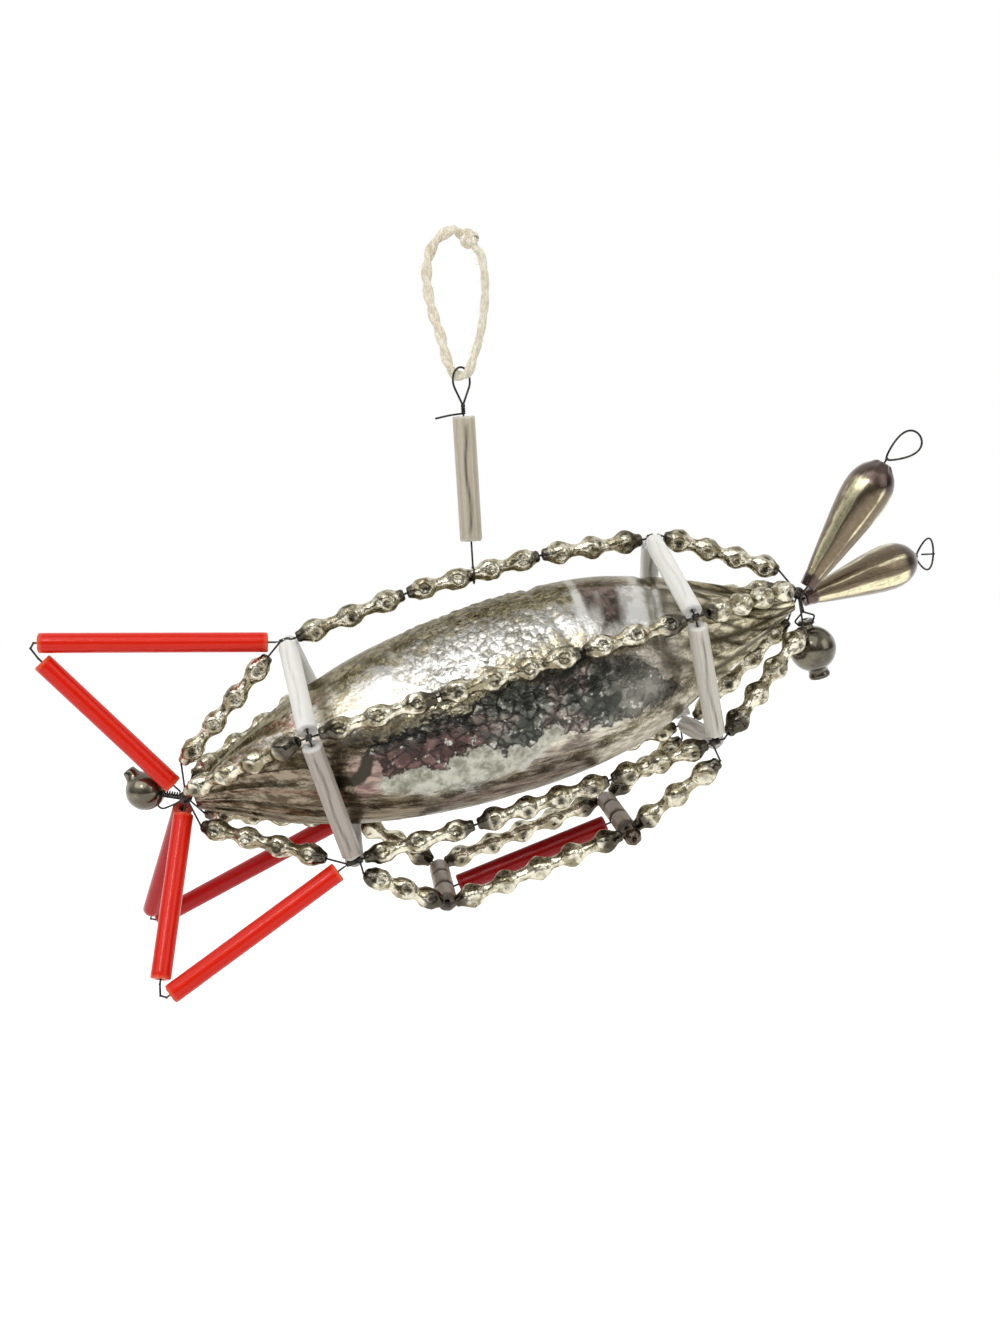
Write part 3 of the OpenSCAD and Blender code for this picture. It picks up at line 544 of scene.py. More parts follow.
def area_lamp(name, place, size, power, aim=(0, 0, -0.09)):
    data = bpy.data.lights.new(name, "AREA")
    data.shape, data.energy = "RECTANGLE", power
    data.size, data.size_y = size
    lamp = new_object(name, data)
    lamp.location = place
    lamp.rotation_euler = (Vector(aim) - Vector(place)).to_track_quat("-Z", "Y").to_euler()


def floor_material():
    """White paper. Seen directly or in glass it is lifted to white. Far away it joins the backdrop or the room."""
    n, co = new_material("floor_paper")
    tone = n.mix(n.noise(co, 40), (0.9, 0.9, 0.9), (0.93, 0.93, 0.93))
    rays = n.add("LightPath").outputs
    seen = n.plus(rays["Is Camera Ray"], rays["Is Glossy Ray"])
    seen = n.plus(seen, rays["Is Transmission Ray"], True)
    distance = n.add("VectorMath", {0: co}, operation="LENGTH").outputs["Value"]
    way = n.add("VectorMath", {0: co}, operation="NORMALIZE").outputs["Vector"]
    wall = n.two(n.add("SeparateXYZ", {"Vector": way}).outputs["Y"], ROOM, WHITE, *BACKDROP_Y)
    wall = n.two(distance, WHITE, wall, 0.8, 2.8)
    paper = n.add("BsdfDiffuse", {"Color": tone}).outputs[0]
    lift = n.add("Emission", {"Color": WHITE, "Strength": n.times(seen, FLOOR_LIFT)}).outputs[0]
    near = n.add("AddShader", {0: paper, 1: lift}).outputs[0]
    far = n.add("Emission", {"Color": wall, "Strength": 1.0}).outputs[0]
    share = n.times(seen, n.ramp(distance, 0.28, 0.75))
    n.close("OutputMaterial", n.add("MixShader", {0: share, 1: near, 2: far}))


def make_floor():
    """A white sheet under the hanging ornament. It takes a soft shadow."""
    bm = bmesh.new()
    level = Matrix.Translation(UP * FLOOR_Z)
    bmesh.ops.create_grid(bm, x_segments=24, y_segments=24, size=FLOOR_HALF, matrix=level)
    mesh = bpy.data.meshes.new("floor")
    bm.to_mesh(mesh)
    bm.free()
    floor_material()
    mesh.materials.append(MAT["floor_paper"])
    new_object("floor", mesh)


bpy.context.scene.view_settings.view_transform = "Standard"
make_world()
make_floor()
area_lamp("key", (-0.45, -0.65, 0.95), (1.6, 1.1), 8.0)
area_lamp("glint", (-0.35, -0.8, 0.7), (0.2, 0.2), 1.3)
area_lamp("fill", (0.75, -0.6, 0.3), (0.5, 0.7), 1.5)


# ---------------- mesh helpers
class Shape:
    """Rings of points gathered into one mesh. place turns helper millimetres into row metres."""

    def __init__(self, place=hung):
        self.place, self.verts, self.faces, self.values = place, [], [], {}

    def grid(self, rows, loop=False, caps=False, **values):
        """Joins rings of points with faces; loop joins the last to the first. values holds numbers per point."""
        base, n, m = len(self.verts), len(rows[0]), len(rows)
        self.verts += [self.place(p) for row in rows for p in row]
        for i in range(m if loop else m - 1):
            low, high = base + i * n, base + (i + 1) % m * n
            for j in range(n):
                k = (j + 1) % n
                self.faces.append((low + j, low + k, high + k, high + j))
        if caps:
            self.faces.append(tuple(range(base + n - 1, base - 1, -1)))
            self.faces.append(tuple(range(base + (m - 1) * n, base + m * n)))
        for name in set(values) | set(self.values):
            column = self.values.setdefault(name, [])
            column += [0.0] * (base - len(column)) + list(values.get(name, [0.0] * (n * m)))
        return self

    def lathe(self, a, b, profile, sides, form, loop=True, caps=False, **columns):
        """profile holds (radius, height) round the line from a toward b. form(r, z, angle) moves each point."""
        a, turn = Vector(a), along_matrix(a, b)
        places = [(r, z, angle) for r, z in profile for angle in angles(sides)]
        points = [a + turn @ spun(place[2], *form(*place)) for place in places]
        rows = [points[i:i + sides] for i in range(0, len(points), sides)]
        values = {name: [value(*place) for place in places] for name, value in columns.items()}
        return self.grid(rows, loop=loop, caps=caps, **values)

    def sweep(self, points, d=WIRE_D, sides=10, closed=False):
        """A round wire through points, with no twist between its rings."""
        pts = [Vector(p) for p in points]
        first, last = (pts[-1], pts[0]) if closed else (pts[0], pts[-1])
        ways = [(after - before).normalized() for before, after in zip([first] + pts[:-1], pts[1:] + [last])]
        side, rows = ways[0].orthogonal().normalized(), []
        for p, way in zip(pts, ways):
            side = (side - way * side.dot(way)).normalized()
            other = way.cross(side)
            rows.append([p + (side * cos(t) + other * sin(t)) * d / 2 for t in angles(sides)])
        self.grid(rows, loop=closed, caps=not closed)

    def make(self, name, slot_name, nodes=(), material=None, body="ship"):
        """The finished piece. It rides its body and takes the place of the CAD nodes."""
        mesh = bpy.data.meshes.new(name)
        mesh.from_pydata(self.verts, [], self.faces)
        bm = bmesh.new()
        bm.from_mesh(mesh)
        bmesh.ops.recalc_face_normals(bm, faces=bm.faces)
        bm.to_mesh(mesh)
        bm.free()
        for key, column in self.values.items():
            mesh.attributes.new(key, "FLOAT", "POINT").data.foreach_set("value", column)
        mesh.polygons.foreach_set("use_smooth", [True] * len(mesh.polygons))
        mesh.materials.append(MAT[material or slot_name])
        piece = new_object(name, mesh)
        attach(piece, body)
        if nodes:
            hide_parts(*nodes)
        return piece


# ---------------- string and its knot
FIBRES, PLY_LAY, KNOT_STEPS = 150, 8.5, 60


def string_centre(steps=10):
    """The route of part.scad's string, a smooth curve through its points."""
    pts = [Vector((x, 0, z)) for x, z in STRING]
    out = []
    for a, b, c, d in zip(pts[:1] + pts, pts, pts[1:], pts[2:] + pts[-1:]):
        out += [curve(b, c, (c - a) / 2, (d - b) / 2, s / steps) for s in range(steps)]
    return out + [pts[-1]]


def make_plies(shape, centre):
    gone = [0.0]
    for a, b in zip(centre, centre[1:]):
        gone.append(gone[-1] + (b - a).length)
    for start in (0, pi):
        route = []
        for i, p in enumerate(centre):
            way = (centre[min(i + 1, len(centre) - 1)] - centre[max(i - 1, 0)]).normalized()
            across, out = Vector((-way.z, 0, way.x)), Vector((0, 1, 0))
            angle = start + tau * gone[i] / PLY_LAY
            offset = STRING_D * (0.2 - 0.12 * fade((gone[i] / gone[-1] - 0.5) * 5))
            route.append(p + (across * cos(angle) + out * sin(angle)) * offset)
        shape.sweep(route, 2 * (STRING_D * 0.31), sides=14)


def make_fibres(shape, centre):
    """Loose hairs on the legs of the loop."""
    for _ in range(FIBRES):
        core = centre[rng.randrange(6, len(centre) - 6)]
        if core.z > 25:
            continue
        at = core + Vector((rng.uniform(-1, 1), rng.uniform(-1, 1), 0)) * 0.7
        out = Vector((at.x - core.x, at.y, rng.uniform(-0.6, 0.6))).normalized()
        reach = rng.uniform(0.5, 1.2)
        bend = Vector((rng.uniform(-0.4, 0.4), rng.uniform(-0.4, 0.4), rng.uniform(-0.6, 0.6)))
        shape.sweep([at, at + out * reach * 0.5 + bend * 0.3, at + out * reach + bend], 0.07, sides=4)


def make_string():
    knot_at = Vector((KNOT_AT[0], 0, KNOT_AT[1]))
    loop = string_centre()
    centre = [toward(loop[0], knot_at, 1.2)] + loop + [toward(loop[-1], knot_at, 1.3)]
    shape, knot = Shape(string_place), Shape(string_place)
    make_plies(shape, centre)
    make_fibres(shape, centre)
    piece = shape.make("string_two_ply", "cotton", ["string"], body="string")
    route = []
    for t in angles(KNOT_STEPS):
        r = 0.86 + 0.4 * cos(3 * t)
        route.append(knot_at + Vector((r * cos(2 * t), 0.62 * sin(3 * t), r * sin(2 * t))))
    knot.sweep(route, 1.5, sides=12, closed=True)
    knot_piece = knot.make("string_overhand_knot", "cotton", ["string_knot"], body="string")


make_string()


# ---------------- glass tubes
VIEW = Vector((-0.06, -0.975, 0.21))
END_RUN, TUBE_ROWS, TUBE_SIDES = 0.25, 24, 36


def lengthwise(r, z, angle):
    """Changes only round the tube, so that noise over it runs in streaks."""
    return cos(angle) + 0.37 * sin(2 * angle)


def cut_ends(length, reach):
    """1 on both cut ends of a tube, 0 from reach on."""
    return lambda r, z, angle: fade(1 - min(z, length - z) / reach)


def glass_tube(name, node, a, b, gap_a, gap_b, slot_name, material=None, d=TUBE_D,
               ragged=0.16, lobes=0.0, core=0.0, body="ship", place=hung):
    """A cut length of drawn tube with its bore, softly broken ends and, on the satin ones, faint flutes.

    core is how strongly a darker line is painted on the side facing the front, standing in for the wire inside seen
    through the glass."""
    start, end = toward(a, b, gap_a), toward(b, a, gap_b)
    length, r, q, seed = (end - start).length, d / 2, TUBE_BORE / 2, rng.uniform(0, 50)
    bend = rng.uniform(0, tau)
    zs = [END_RUN + (length - 2 * END_RUN) * i / TUBE_ROWS for i in range(1, TUBE_ROWS)]
    profile = [(r - 0.22, 0.02), (r - 0.07, 0.09)] + [(r, z) for z in (END_RUN, *zs, length - END_RUN)]
    profile += [(r - 0.07, length - 0.09), (r - 0.22, length - 0.02)]
    profile += [(q + 0.2, length - 0.02), (q, length - END_RUN), (q, END_RUN), (q + 0.2, 0.02)]

    def form(rr, z, angle):
        around = spun(angle)
        near, far = fade(1 - z / 1.2), fade(1 - (length - z) / 1.2)
        chip = abs(bump_noise(around * 1.7, 1.0, seed)) * ragged * near
        chip -= abs(bump_noise(around * 1.7, 1.0, seed + 9)) * ragged * far
        if rr > q + 0.21:
            waver = 0.02 * (1 + bump_noise((around.x, around.y, z * 0.3), 1.3, seed))
            rr -= lobes * wave(6 * angle + bend) + waver
        return rr, z + chip * 2.4

    # the side facing the front view, where the wire line is painted
    front = along_matrix(a, b).transposed() @ VIEW
    facing = atan2(front.y, front.x)

    def wire_line(rr, z, angle):
        off = sin(angle - facing) + 0.14 * sin(z * 0.4 + seed)
        return core * bell(off, 0.11) * fade(cos(angle - facing) * 3) * fade((min(z, length - z) - 1.2) * 0.6)

    Shape(place).lathe(
        start, end, profile, TUBE_SIDES, form, core=wire_line, rim=cut_ends(length, 0.9), line=lengthwise,
    ).make(name, slot_name, [node], material, body)


def make_rings():
    gap = TUBE_D / 2 / tan(radians(54)) + SEAT / 2
    # the lower two tubes of each ring take darker copies of the milky glass as painted shade
    for label, ring, shaded in (("rear", REAR, "milky_brown_shaded"), ("front", FRONT, "milky_grey_shaded")):
        for k, side in enumerate(TUBE_NAMES):
            glass_tube(
                f"{label}_satin_tube_{side}", f"{label}_tube_{side}", corner(ring, k), corner(ring, (k + 1) % 5),
                gap, gap, "milky_tubes", shaded if k in (1, 2) else None, lobes=0.1, core=0.75 if k else 0.25)


FINS = dict(
    top=dict(reach=40.5, back=0, corner=TOP, colour="red_tubes"),
    near=dict(reach=39.0, back=4, corner=NEAR_LOWER, colour="red_tubes"),
    far=dict(reach=39.5, back=-4, corner=FAR_LOWER, colour="crimson_tubes"),
)
FIN_RAKE, FIN_TIP_GAP, FIN_CORNER_GAP, FIN_END, FIN_RAGGED, COLLAR_STEP = 19.0, 3.1, 2.7, 3.6, 0.1, 1.05


def make_fins():
    for label, fin in FINS.items():
        out = outward(corner_angle(REAR, fin["corner"]))
        tip = X * (fin["back"] - FIN_RAKE) + out * fin["reach"]
        start = corner(REAR, fin["corner"]) - X * COLLAR_STEP
        angle = (start - tip).angle(TAIL - tip)
        short_start = (TUBE_D / 2 * (1 + cos(angle)) + SEAT) / sin(angle)
        tubes = dict(long=(start, FIN_TIP_GAP, FIN_CORNER_GAP), short=(TAIL, short_start, FIN_END))
        for size, (to, gap_a, gap_b) in tubes.items():
            node = f"fin_{label}_{size}"
            glass_tube(f"{node}_tube", node, tip, to, gap_a, gap_b, "red_tubes", fin["colour"], ragged=FIN_RAGGED)


# ---------------- beads
WORN, FAINT, DARK = (0.8, 1.5), (0.45, 1.2), (1.0, 4.6)  # how worn an end is, and how far in
STRAND_WEAR = {
    (TOP, 0): (FAINT, (0.7, 1.6)), (TOP, 1): ((0.8, 2.4), WORN), (TOP, 3): (WORN, (0.9, 3.4)),
    (NEAR_UPPER, 0): (FAINT, DARK), (NEAR_UPPER, 1): ((1.0, 4.0), (1.0, 2.8)), (NEAR_UPPER, 3): (WORN, DARK),
    (NEAR_LOWER, 0): ((0.9, 2.2), (0.9, 2.4)), (NEAR_LOWER, 1): ((1.0, 3.4), (0.9, 2.4)),
    (NEAR_LOWER, 2): ((0.9, 2.6), WORN), (NEAR_LOWER, 3): ((0.9, 2.4), (0.9, 3.0)), (NEAR_LOWER, 4): (DARK, WORN),
}
NODE_ROWS, BEAD_SIDES = 18, 32
RAIL_WEAR, RISER_WEAR = ((0.9, 2.4), (1.0, 4.4)), ((0.9, 2.0), (1.0, 3.8))


def soft_min(p, q, k):
    h = max(k - abs(p - q), 0) / k
    return min(p, q) - h * h * k / 4


def bead(shape, a, b, gap_a, gap_b, count, wear):
    """A moulded bead of rounded square nodes with a pit in each face, as part.scad's bead_between(). It also gives
    each pit how dark its painted shade is.
    """
    start, end = toward(a, b, gap_a), toward(b, a, gap_b)
    length, seed = (end - start).length, rng.uniform(0, 90)
    pitch, big, flat, neck, bore = length / count, BEAD_D / 2, BEAD_FLAT / 2, NECK_D / 2, 0.5
    rows = count * NODE_ROWS
    profile = [(bore, 0.5), (bore + 0.1, 0.02), (neck - 0.25, 0.0)]
    profile += [(neck, length * i / rows) for i in range(1, rows)]
    profile += [(neck - 0.25, length), (bore + 0.1, length - 0.02), (bore, length - 0.5)]
    quarter, roll = pi / 2, rng.uniform(-0.35, 0.35)
    # how dark the painted shade in each node's pits is
    pit_shade_strength = [rng.choice((0.35, 0.6, 1.25)) for _ in range(count)]

    def node_offset(z):
        return z - (min(int(z / pitch), count - 1) + 0.5) * pitch

    def pit(z, angle):
        off = (angle + roll + pi / 4) % quarter - pi / 4
        return exp(-((off * flat) ** 2 + node_offset(z)**2) / (2 * 0.6**2))

    def form(rr, z, angle):
        if rr < neck:
            return rr, z
        ball = big - 0.3 * abs(node_offset(z)) ** 1.7
        side = flat / max(abs(cos(angle + roll)), abs(sin(angle + roll)))
        node = soft_min(ball, side, 0.35) - 0.6 * pit(z, angle)
        out = -soft_min(-node, -neck, 0.7)
        at = spun(angle, 2, z)
        out += 0.17 * bump_noise(at, 0.7, seed) + 0.04 * bump_noise(at, 1.9, seed)
        return min(out, big), z

    (w0, l0), (w1, l1) = wear
    shape.lathe(
        start, end, profile, BEAD_SIDES, form,
        wear=lambda rr, z, angle: min(1.0, w0 * fade(1.5 - z / l0) + w1 * fade(1.5 - (length - z) / l1)),
        dimple=lambda rr, z, angle: min(1.0, pit_shade_strength[min(int(max(z, 0) / pitch), count - 1)] * pit(z, angle)))


def make_strands():
    for k, name in enumerate(STRAND_NAMES):
        p = strand_points(k)
        parts = dict(  # for each bead: its first point, the gaps at its ends, its count of nodes
            tail=[(0, BEND_GAP, TAIL_GAP[k], 4)],
            middle=[(2, CORNER_GAP, BEND_GAP, 3), (3, BEND_GAP, BEND_GAP, 4), (4, BEND_GAP, CORNER_GAP, 3)],
            nose=[(6, NOSE_GAP, BEND_GAP, 4)],
        )
        which = 0
        for part, beads in parts.items():
            shape = Shape()
            for i, gap_a, gap_b, count in beads:
                bead(shape, p[i], p[i + 1], gap_a, gap_b, count, STRAND_WEAR.get((k, which), (WORN, WORN)))
                which += 1
            shape.make(f"bead_{name}_{part}", "champagne_beads", [f"strand_{name}_{part}"])


# ---------------- envelope
PROFILE = [
    (0, 0.107), (0.06, 0.32), (0.145, 0.585), (0.26, 0.81), (0.38, 0.945), (0.505, 1),
    (0.61, 0.976), (0.71, 0.873), (0.785, 0.715), (0.86, 0.51), (0.92, 0.33), (0.97, 0.185), (1, 0.107),
]
PLEATS, PLEAT_DEPTH, PLEAT_SLANT = 10, 0.7, 150.0
ENV_START = KNOT_D / 2 + 2 * SEAT
ENV_L = SHIP_L - 2 * ENV_START
ENV_DROP = MOUTH_D / 2 - GLASS - WIRE_D / 2 - SEAT
ENV_ROWS, ENV_SIDES, INNER_ROWS = 330, 240, 24


def slope(i):
    a, b = PROFILE[max(i - 1, 0)], PROFILE[min(i + 1, len(PROFILE) - 1)]
    return (b[1] - a[1]) / (b[0] - a[0])


def env_r(t):
    """Radius of the glass at t of its length, a smooth curve through PROFILE."""
    i = next((i for i in range(len(PROFILE) - 2) if t <= PROFILE[i + 1][0]), len(PROFILE) - 2)
    (t0, v0), (t1, v1) = PROFILE[i], PROFILE[i + 1]
    h = t1 - t0
    return max(curve(v0, v1, slope(i) * h, slope(i + 1) * h, (t - t0) / h) * ENV_D / 2, MOUTH_D / 2)


def pleat_wave(t, angle, slant, times):
    return abs(sin(radians((degrees(angle) + slant * t) * PLEATS / 2 * times)))


def pleat(t, angle):
    cone = fade((t - 0.7) / 0.12) if t > 0.5 else 0.6 * fade((0.3 - t) / 0.15)
    amount = PLEAT_DEPTH * min(env_r(t) / 9, 1) * cone * fade(min(t, 1 - t) / 0.02)
    return amount * pleat_wave(t, angle, PLEAT_SLANT, 1 if t > 0.5 else 2)


# Edges of the painted zones: t along the glass, and the height v at which the camera sees them there.
# v is 1 at the top edge and -1 at the bottom edge.
BAND_TOP = [
    (0, 0.02), (0.35, 0.04), (0.4, 0.05), (0.455, 0.05), (0.495, 0.22), (0.545, 0.22), (0.6, 0.28),
    (0.63, 0.25), (0.66, 0.19), (0.69, 0.11), (0.72, -0.04), (0.745, -0.38), (1, -0.38),
]
BAND_LOW = [
    (0, -0.39), (0.335, -0.39), (0.375, -0.44), (0.4, -0.41), (0.443, -0.36), (0.48, -0.48),
    (0.52, -0.47), (0.547, -0.37), (0.59, -0.52), (0.645, -0.56), (0.71, -0.62), (1, -0.66),
]
STRIP_LOW = [
    (0, -0.58), (0.293, -0.6), (0.34, -0.67), (0.39, -0.73), (0.43, -0.72), (0.48, -0.68),
    (0.52, -0.6), (0.56, -0.52), (1, -0.5),
]
TAIL_EDGE = [(0, 0.44), (0.12, 0.42), (0.16, 0.36), (0.22, 0.28), (0.265, 0.17), (0.32, 0.05), (1, 0.05)]
# where the painted dark reflection of the top edge begins
RIM_EDGE = [(0, 0.62), (0.3, 0.74), (0.48, 0.78), (0.58, 0.7), (0.64, 0.7), (0.66, 0.86), (0.8, 0.9), (1, 0.9)]
STROKE = [(0.3, -0.07), (0.283, -0.12), (0.274, -0.26), (0.25, -0.36), (0.22, -0.33)]
T_IN_V = 6.6  # the glass's length in heights v


def stroke_distance(t, v):
    """How far a point of the glass lies from the dark curl by the rear ring, in heights v."""
    p, curl = Vector((t * T_IN_V, v)), [Vector((x * T_IN_V, y)) for x, y in STROKE]
    best = 9.0
    for a, b in zip(curl, curl[1:]):
        s = min(max((p - a).dot(b - a) / (b - a).length_squared, 0), 1)
        best = min(best, (p - a.lerp(b, s)).length)
    return best


def paint(t, angle):
    """How deep a point lies inside each painted zone, below 0 outside it. The far side mirrors the near one."""
    near = angle if cos(angle) >= 0 else pi - angle
    v = sin(near - radians(11))
    top, low, strip_low, tail_edge, rim_edge = (
        table_at(table, t) for table in (BAND_TOP, BAND_LOW, STRIP_LOW, TAIL_EDGE, RIM_EDGE))

    def span(start, end, steep=7):
        return min((t - start) * steep, (end - t) * steep)

    gleam = max(0.006 - abs(t - 0.652 - 0.008 * v), 0.007 - abs(t - 0.737 - 0.02 * v)) * 40
    stain = max(min(span(0.662, 0.69, 12), v - 0.6), min(span(0.66 + 0.035 * v, 0.7 + 0.03 * v, 12), v - 0.34))
    return dict(
        band=min(top - v, v - low, span(0.287, 0.755)),
        fringe=min(top + 0.17 - v, v - top + 0.2, span(0.285, 0.66)),
        strip=min(low + 0.05 - v, v - strip_low, (t - 0.286) * 5, (0.575 - t) * 4),
        rosy=min((0.455 - t) * 4, top - v - 0.14 - 0.5 * max(t - 0.38, 0)),
        faded=(t - 0.665) * 8,
        mist=min((t - 0.66) * 7, 0.24 - v, v + 0.85),
        blush=min(span(0.25, 0.315), -0.1 - v, v + 0.56),
        # underside, partly painted dark reflection
        belly=min(strip_low - 0.02 - v, (0.6 - t) * 7),
        lower=min(low + 0.02 - v, (t - 0.54) * 7),
        # the top edge's painted dark reflection
        rim=v - rim_edge,
        stroke=0.07 - stroke_distance(t, v),
        stain=min(stain, 0.95 - v),
        gleam=min(gleam, v - 0.36),
        tail=min((0.3 - t) * 7, v - tail_edge),
        # lower half of the tail, partly painted dark reflection
        tail_low=min((0.335 - t) * 7, tail_edge - v),
        cone=(t - 0.79) * 8,
        hammer=fade((v + 0.62) * 2.5) * fade((t - 0.31) * 9) * fade((0.68 - t) * 9),
        # painted shade for the pleat valleys of the cone
        valley=max(pleat_wave(t, angle, PLEAT_SLANT, 1) ** 4, pleat_wave(t, angle, 650, 1.4) ** 6),
    )


def relief(t, angle, at, r, zones):
    """How far the glass lies inside its smooth form: hammered dents, streaks on the belly, two folds on top."""
    drift = Vector((0.3 * bump_noise(at, 0.6, 7), 0, 0.3 * bump_noise(at, 0.6)))
    cells = noise.voronoi(at * 0.46 + drift)[0]
    dent = 0.32 * (1 - fade((cells[1] - cells[0]) / 0.6)) * zones["hammer"]
    dent += 0.12 * (0.5 + 0.5 * bump_noise(at, 0.9)) * fade((0.9 - abs(t - 0.5) * 2.6) * 2)
    grain = bump_noise((at.x * 0.12, angle * r * 0.55, 3), 1.0)
    streaks = 0.22 * (0.5 + 0.5 * grain) * fade(zones["belly"] * 4 + 0.5)
    fold = 0.5 * bell(t - 0.648 + 0.05 * at.z / 20, 0.008) * fade((at.z - 2) / 5)
    fold += 0.5 * bell(t - 0.742 - 0.05 * at.z / 20, 0.008) * fade((at.z - 2) / 5)
    return pleat(t, angle) + min(dent + streaks + fold, r - MOUTH_D / 2 + 0.02) * fade(min(t, 1 - t) / 0.03)


def env_point(u, r, angle):
    return Vector((ENV_START + u, -r * cos(angle), r * sin(angle) - ENV_DROP))


def make_envelope():
    rows, columns = [], {}
    for i in range(ENV_ROWS + 1):
        t = wave(pi * i / ENV_ROWS)
        r, row = env_r(t), []
        for angle in angles(ENV_SIDES):
            at, zones = Vector((t * ENV_L, -r * cos(angle), r * sin(angle))), paint(t, angle)
            row.append(env_point(at.x, r - relief(t, angle, at, r, zones), angle))
            for key, value in zones.items():
                columns.setdefault(key, []).append(value)
        rows.append(row)
    for i in range(INNER_ROWS, -1, -1):
        t = wave(pi * i / INNER_ROWS)
        r = max(env_r(t) - GLASS - (PLEAT_DEPTH if 0.02 < t < 0.98 else 0), MOUTH_D / 2 - GLASS)
        rows.append([env_point(t * ENV_L, r, angle) for angle in angles(ENV_SIDES)])
    for column in columns.values():
        column += [0.0] * ((INNER_ROWS + 1) * ENV_SIDES)
    Shape().grid(rows, loop=True, **columns).make("envelope_silvered", "silvered_glass", ["envelope"])


# ---------------- gondola
GONDOLA_U, GONDOLA_L, GONDOLA_DROP, GONDOLA_RISE, GONDOLA_W = 44.2, 40.0, 36.0, 2.4, 25.0
HANG, RAIL_GAP, SPACER_GAP, SLOT = (3.0, 4.3), 1.6, NECK_D / 2 + 0.35, WIRE_D + 0.4
SPACER_L = (GONDOLA_W - 2 * SPACER_GAP - SLOT - SEAT) / 3
FLOOR_Y = -GONDOLA_W / 2 + SPACER_GAP + SPACER_L + SLOT / 2
END_BEAD_D, SMALL_BORE, MELT = 3.8, 0.5, 0.75


def gondola_corner(end, side):
    return Vector((GONDOLA_U + end * GONDOLA_L, side * GONDOLA_W / 2, end * GONDOLA_RISE - GONDOLA_DROP))


def gondola_bind(end, side):
    """Where the gondola's wire is bound to the ship, and the way out of the ship there."""
    ring, k = (FRONT if end else REAR), (NEAR_LOWER if side < 0 else FAR_LOWER)
    return corner(ring, k) + X * (-COLLAR_STEP if end else COLLAR_STEP), outward(corner_angle(ring, k))


def satin_bead(shape, start, way, length, d):
    """A short bead cut from fluted rod, its ends melted round."""
    r, q, seed = d / 2, SMALL_BORE, rng.uniform(0, 40)
    arc = [(r - MELT * (1 - sin(a * pi / 12)), MELT * (1 - cos(a * pi / 12))) for a in range(1, 7)]
    profile = [(q, 0.5), (q + 0.12, 0.03)] + arc
    profile += [(r, length * f) for f in (0.3, 0.4, 0.5, 0.6, 0.7)]
    profile += [(rr, length - z) for rr, z in arc[::-1]] + [(q + 0.12, length - 0.03), (q, length - 0.5)]

    def form(rr, z, angle):
        if rr > q + 0.2:
            rr -= 0.07 * wave(8 * angle) + 0.05 * (1 + bump_noise(spun(angle, z=z), 1.2, seed))
        return rr, z

    shape.lathe(start, Vector(start) + Vector(way), profile, 40, form, rim=cut_ends(length, 0.8), line=lengthwise)


def make_end_bead():
    """The small dark bead on the end of the front cross wire."""
    at = gondola_corner(1, 0)
    near_end = GONDOLA_W / 2 + NECK_D / 2 + 0.25
    r, q = END_BEAD_D / 2, SMALL_BORE
    first = asin(q / r)
    around = (first + (pi - 2 * first) * i / 16 for i in range(17))
    arc = [(max(r * sin(a), q), r - r * cos(a)) for a in around]
    arc += [(q, END_BEAD_D - 0.5), (q, 0.5)]

    def ridged(rr, z, angle):
        return (rr - 0.12 * wave(7 * angle) * rr / r if rr > q else rr), z

    cap = Shape().lathe(
        (at.x, -near_end, at.z), (at.x, -near_end - 1, at.z), arc, 42, ridged,
        wear=lambda rr, z, angle: 0.2, dimple=lambda rr, z, angle: 0.0)
    cap.make("gondola_end_bead", "champagne_beads", ["gondola_spacers_front"], "end_bead")


def make_gondola():
    for side, name in ((-1, "near"), (1, "far")):
        rail = Shape()
        bead(rail, gondola_corner(0, side), gondola_corner(1, side), RAIL_GAP, RAIL_GAP, 5, RAIL_WEAR)
        rail.make(f"bead_rail_{name}", "champagne_beads", [f"gondola_rail_{name}"])
        for end, where in ((0, "rear"), (1, "front")):
            riser = Shape()
            bound, out = gondola_bind(end, side)
            bead(riser, bound + out * HANG[end], gondola_corner(end, side), BEND_GAP, RAIL_GAP, 3, RISER_WEAR)
            riser.make(f"bead_riser_{where}_{name}", "champagne_beads", [f"gondola_riser_{name}_{where}"])
    first = -GONDOLA_W / 2 + SPACER_GAP
    second = first + SPACER_L + SLOT
    for end, where in ((0, "rear"), (1, "front")):
        at = gondola_corner(end, 0)
        row = Shape()
        for y in (first, second, second + SPACER_L + SEAT):
            satin_bead(row, (at.x, y, at.z), (0, 1, 0), SPACER_L, SPACER_D)
        row.make(f"gondola_satin_beads_{where}", "matt_beads", [f"gondola_spacers_{where}"])
    make_end_bead()
    shift, gap = Vector((0, FLOOR_Y + GONDOLA_W / 2, 0)), SPACER_D / 2 + 1
    glass_tube("gondola_floor_red_tube", "gondola_floor_tube", gondola_corner(0, -1) + shift,
               gondola_corner(1, -1) + shift, gap, gap, "dark_red_tube", ragged=0.1)


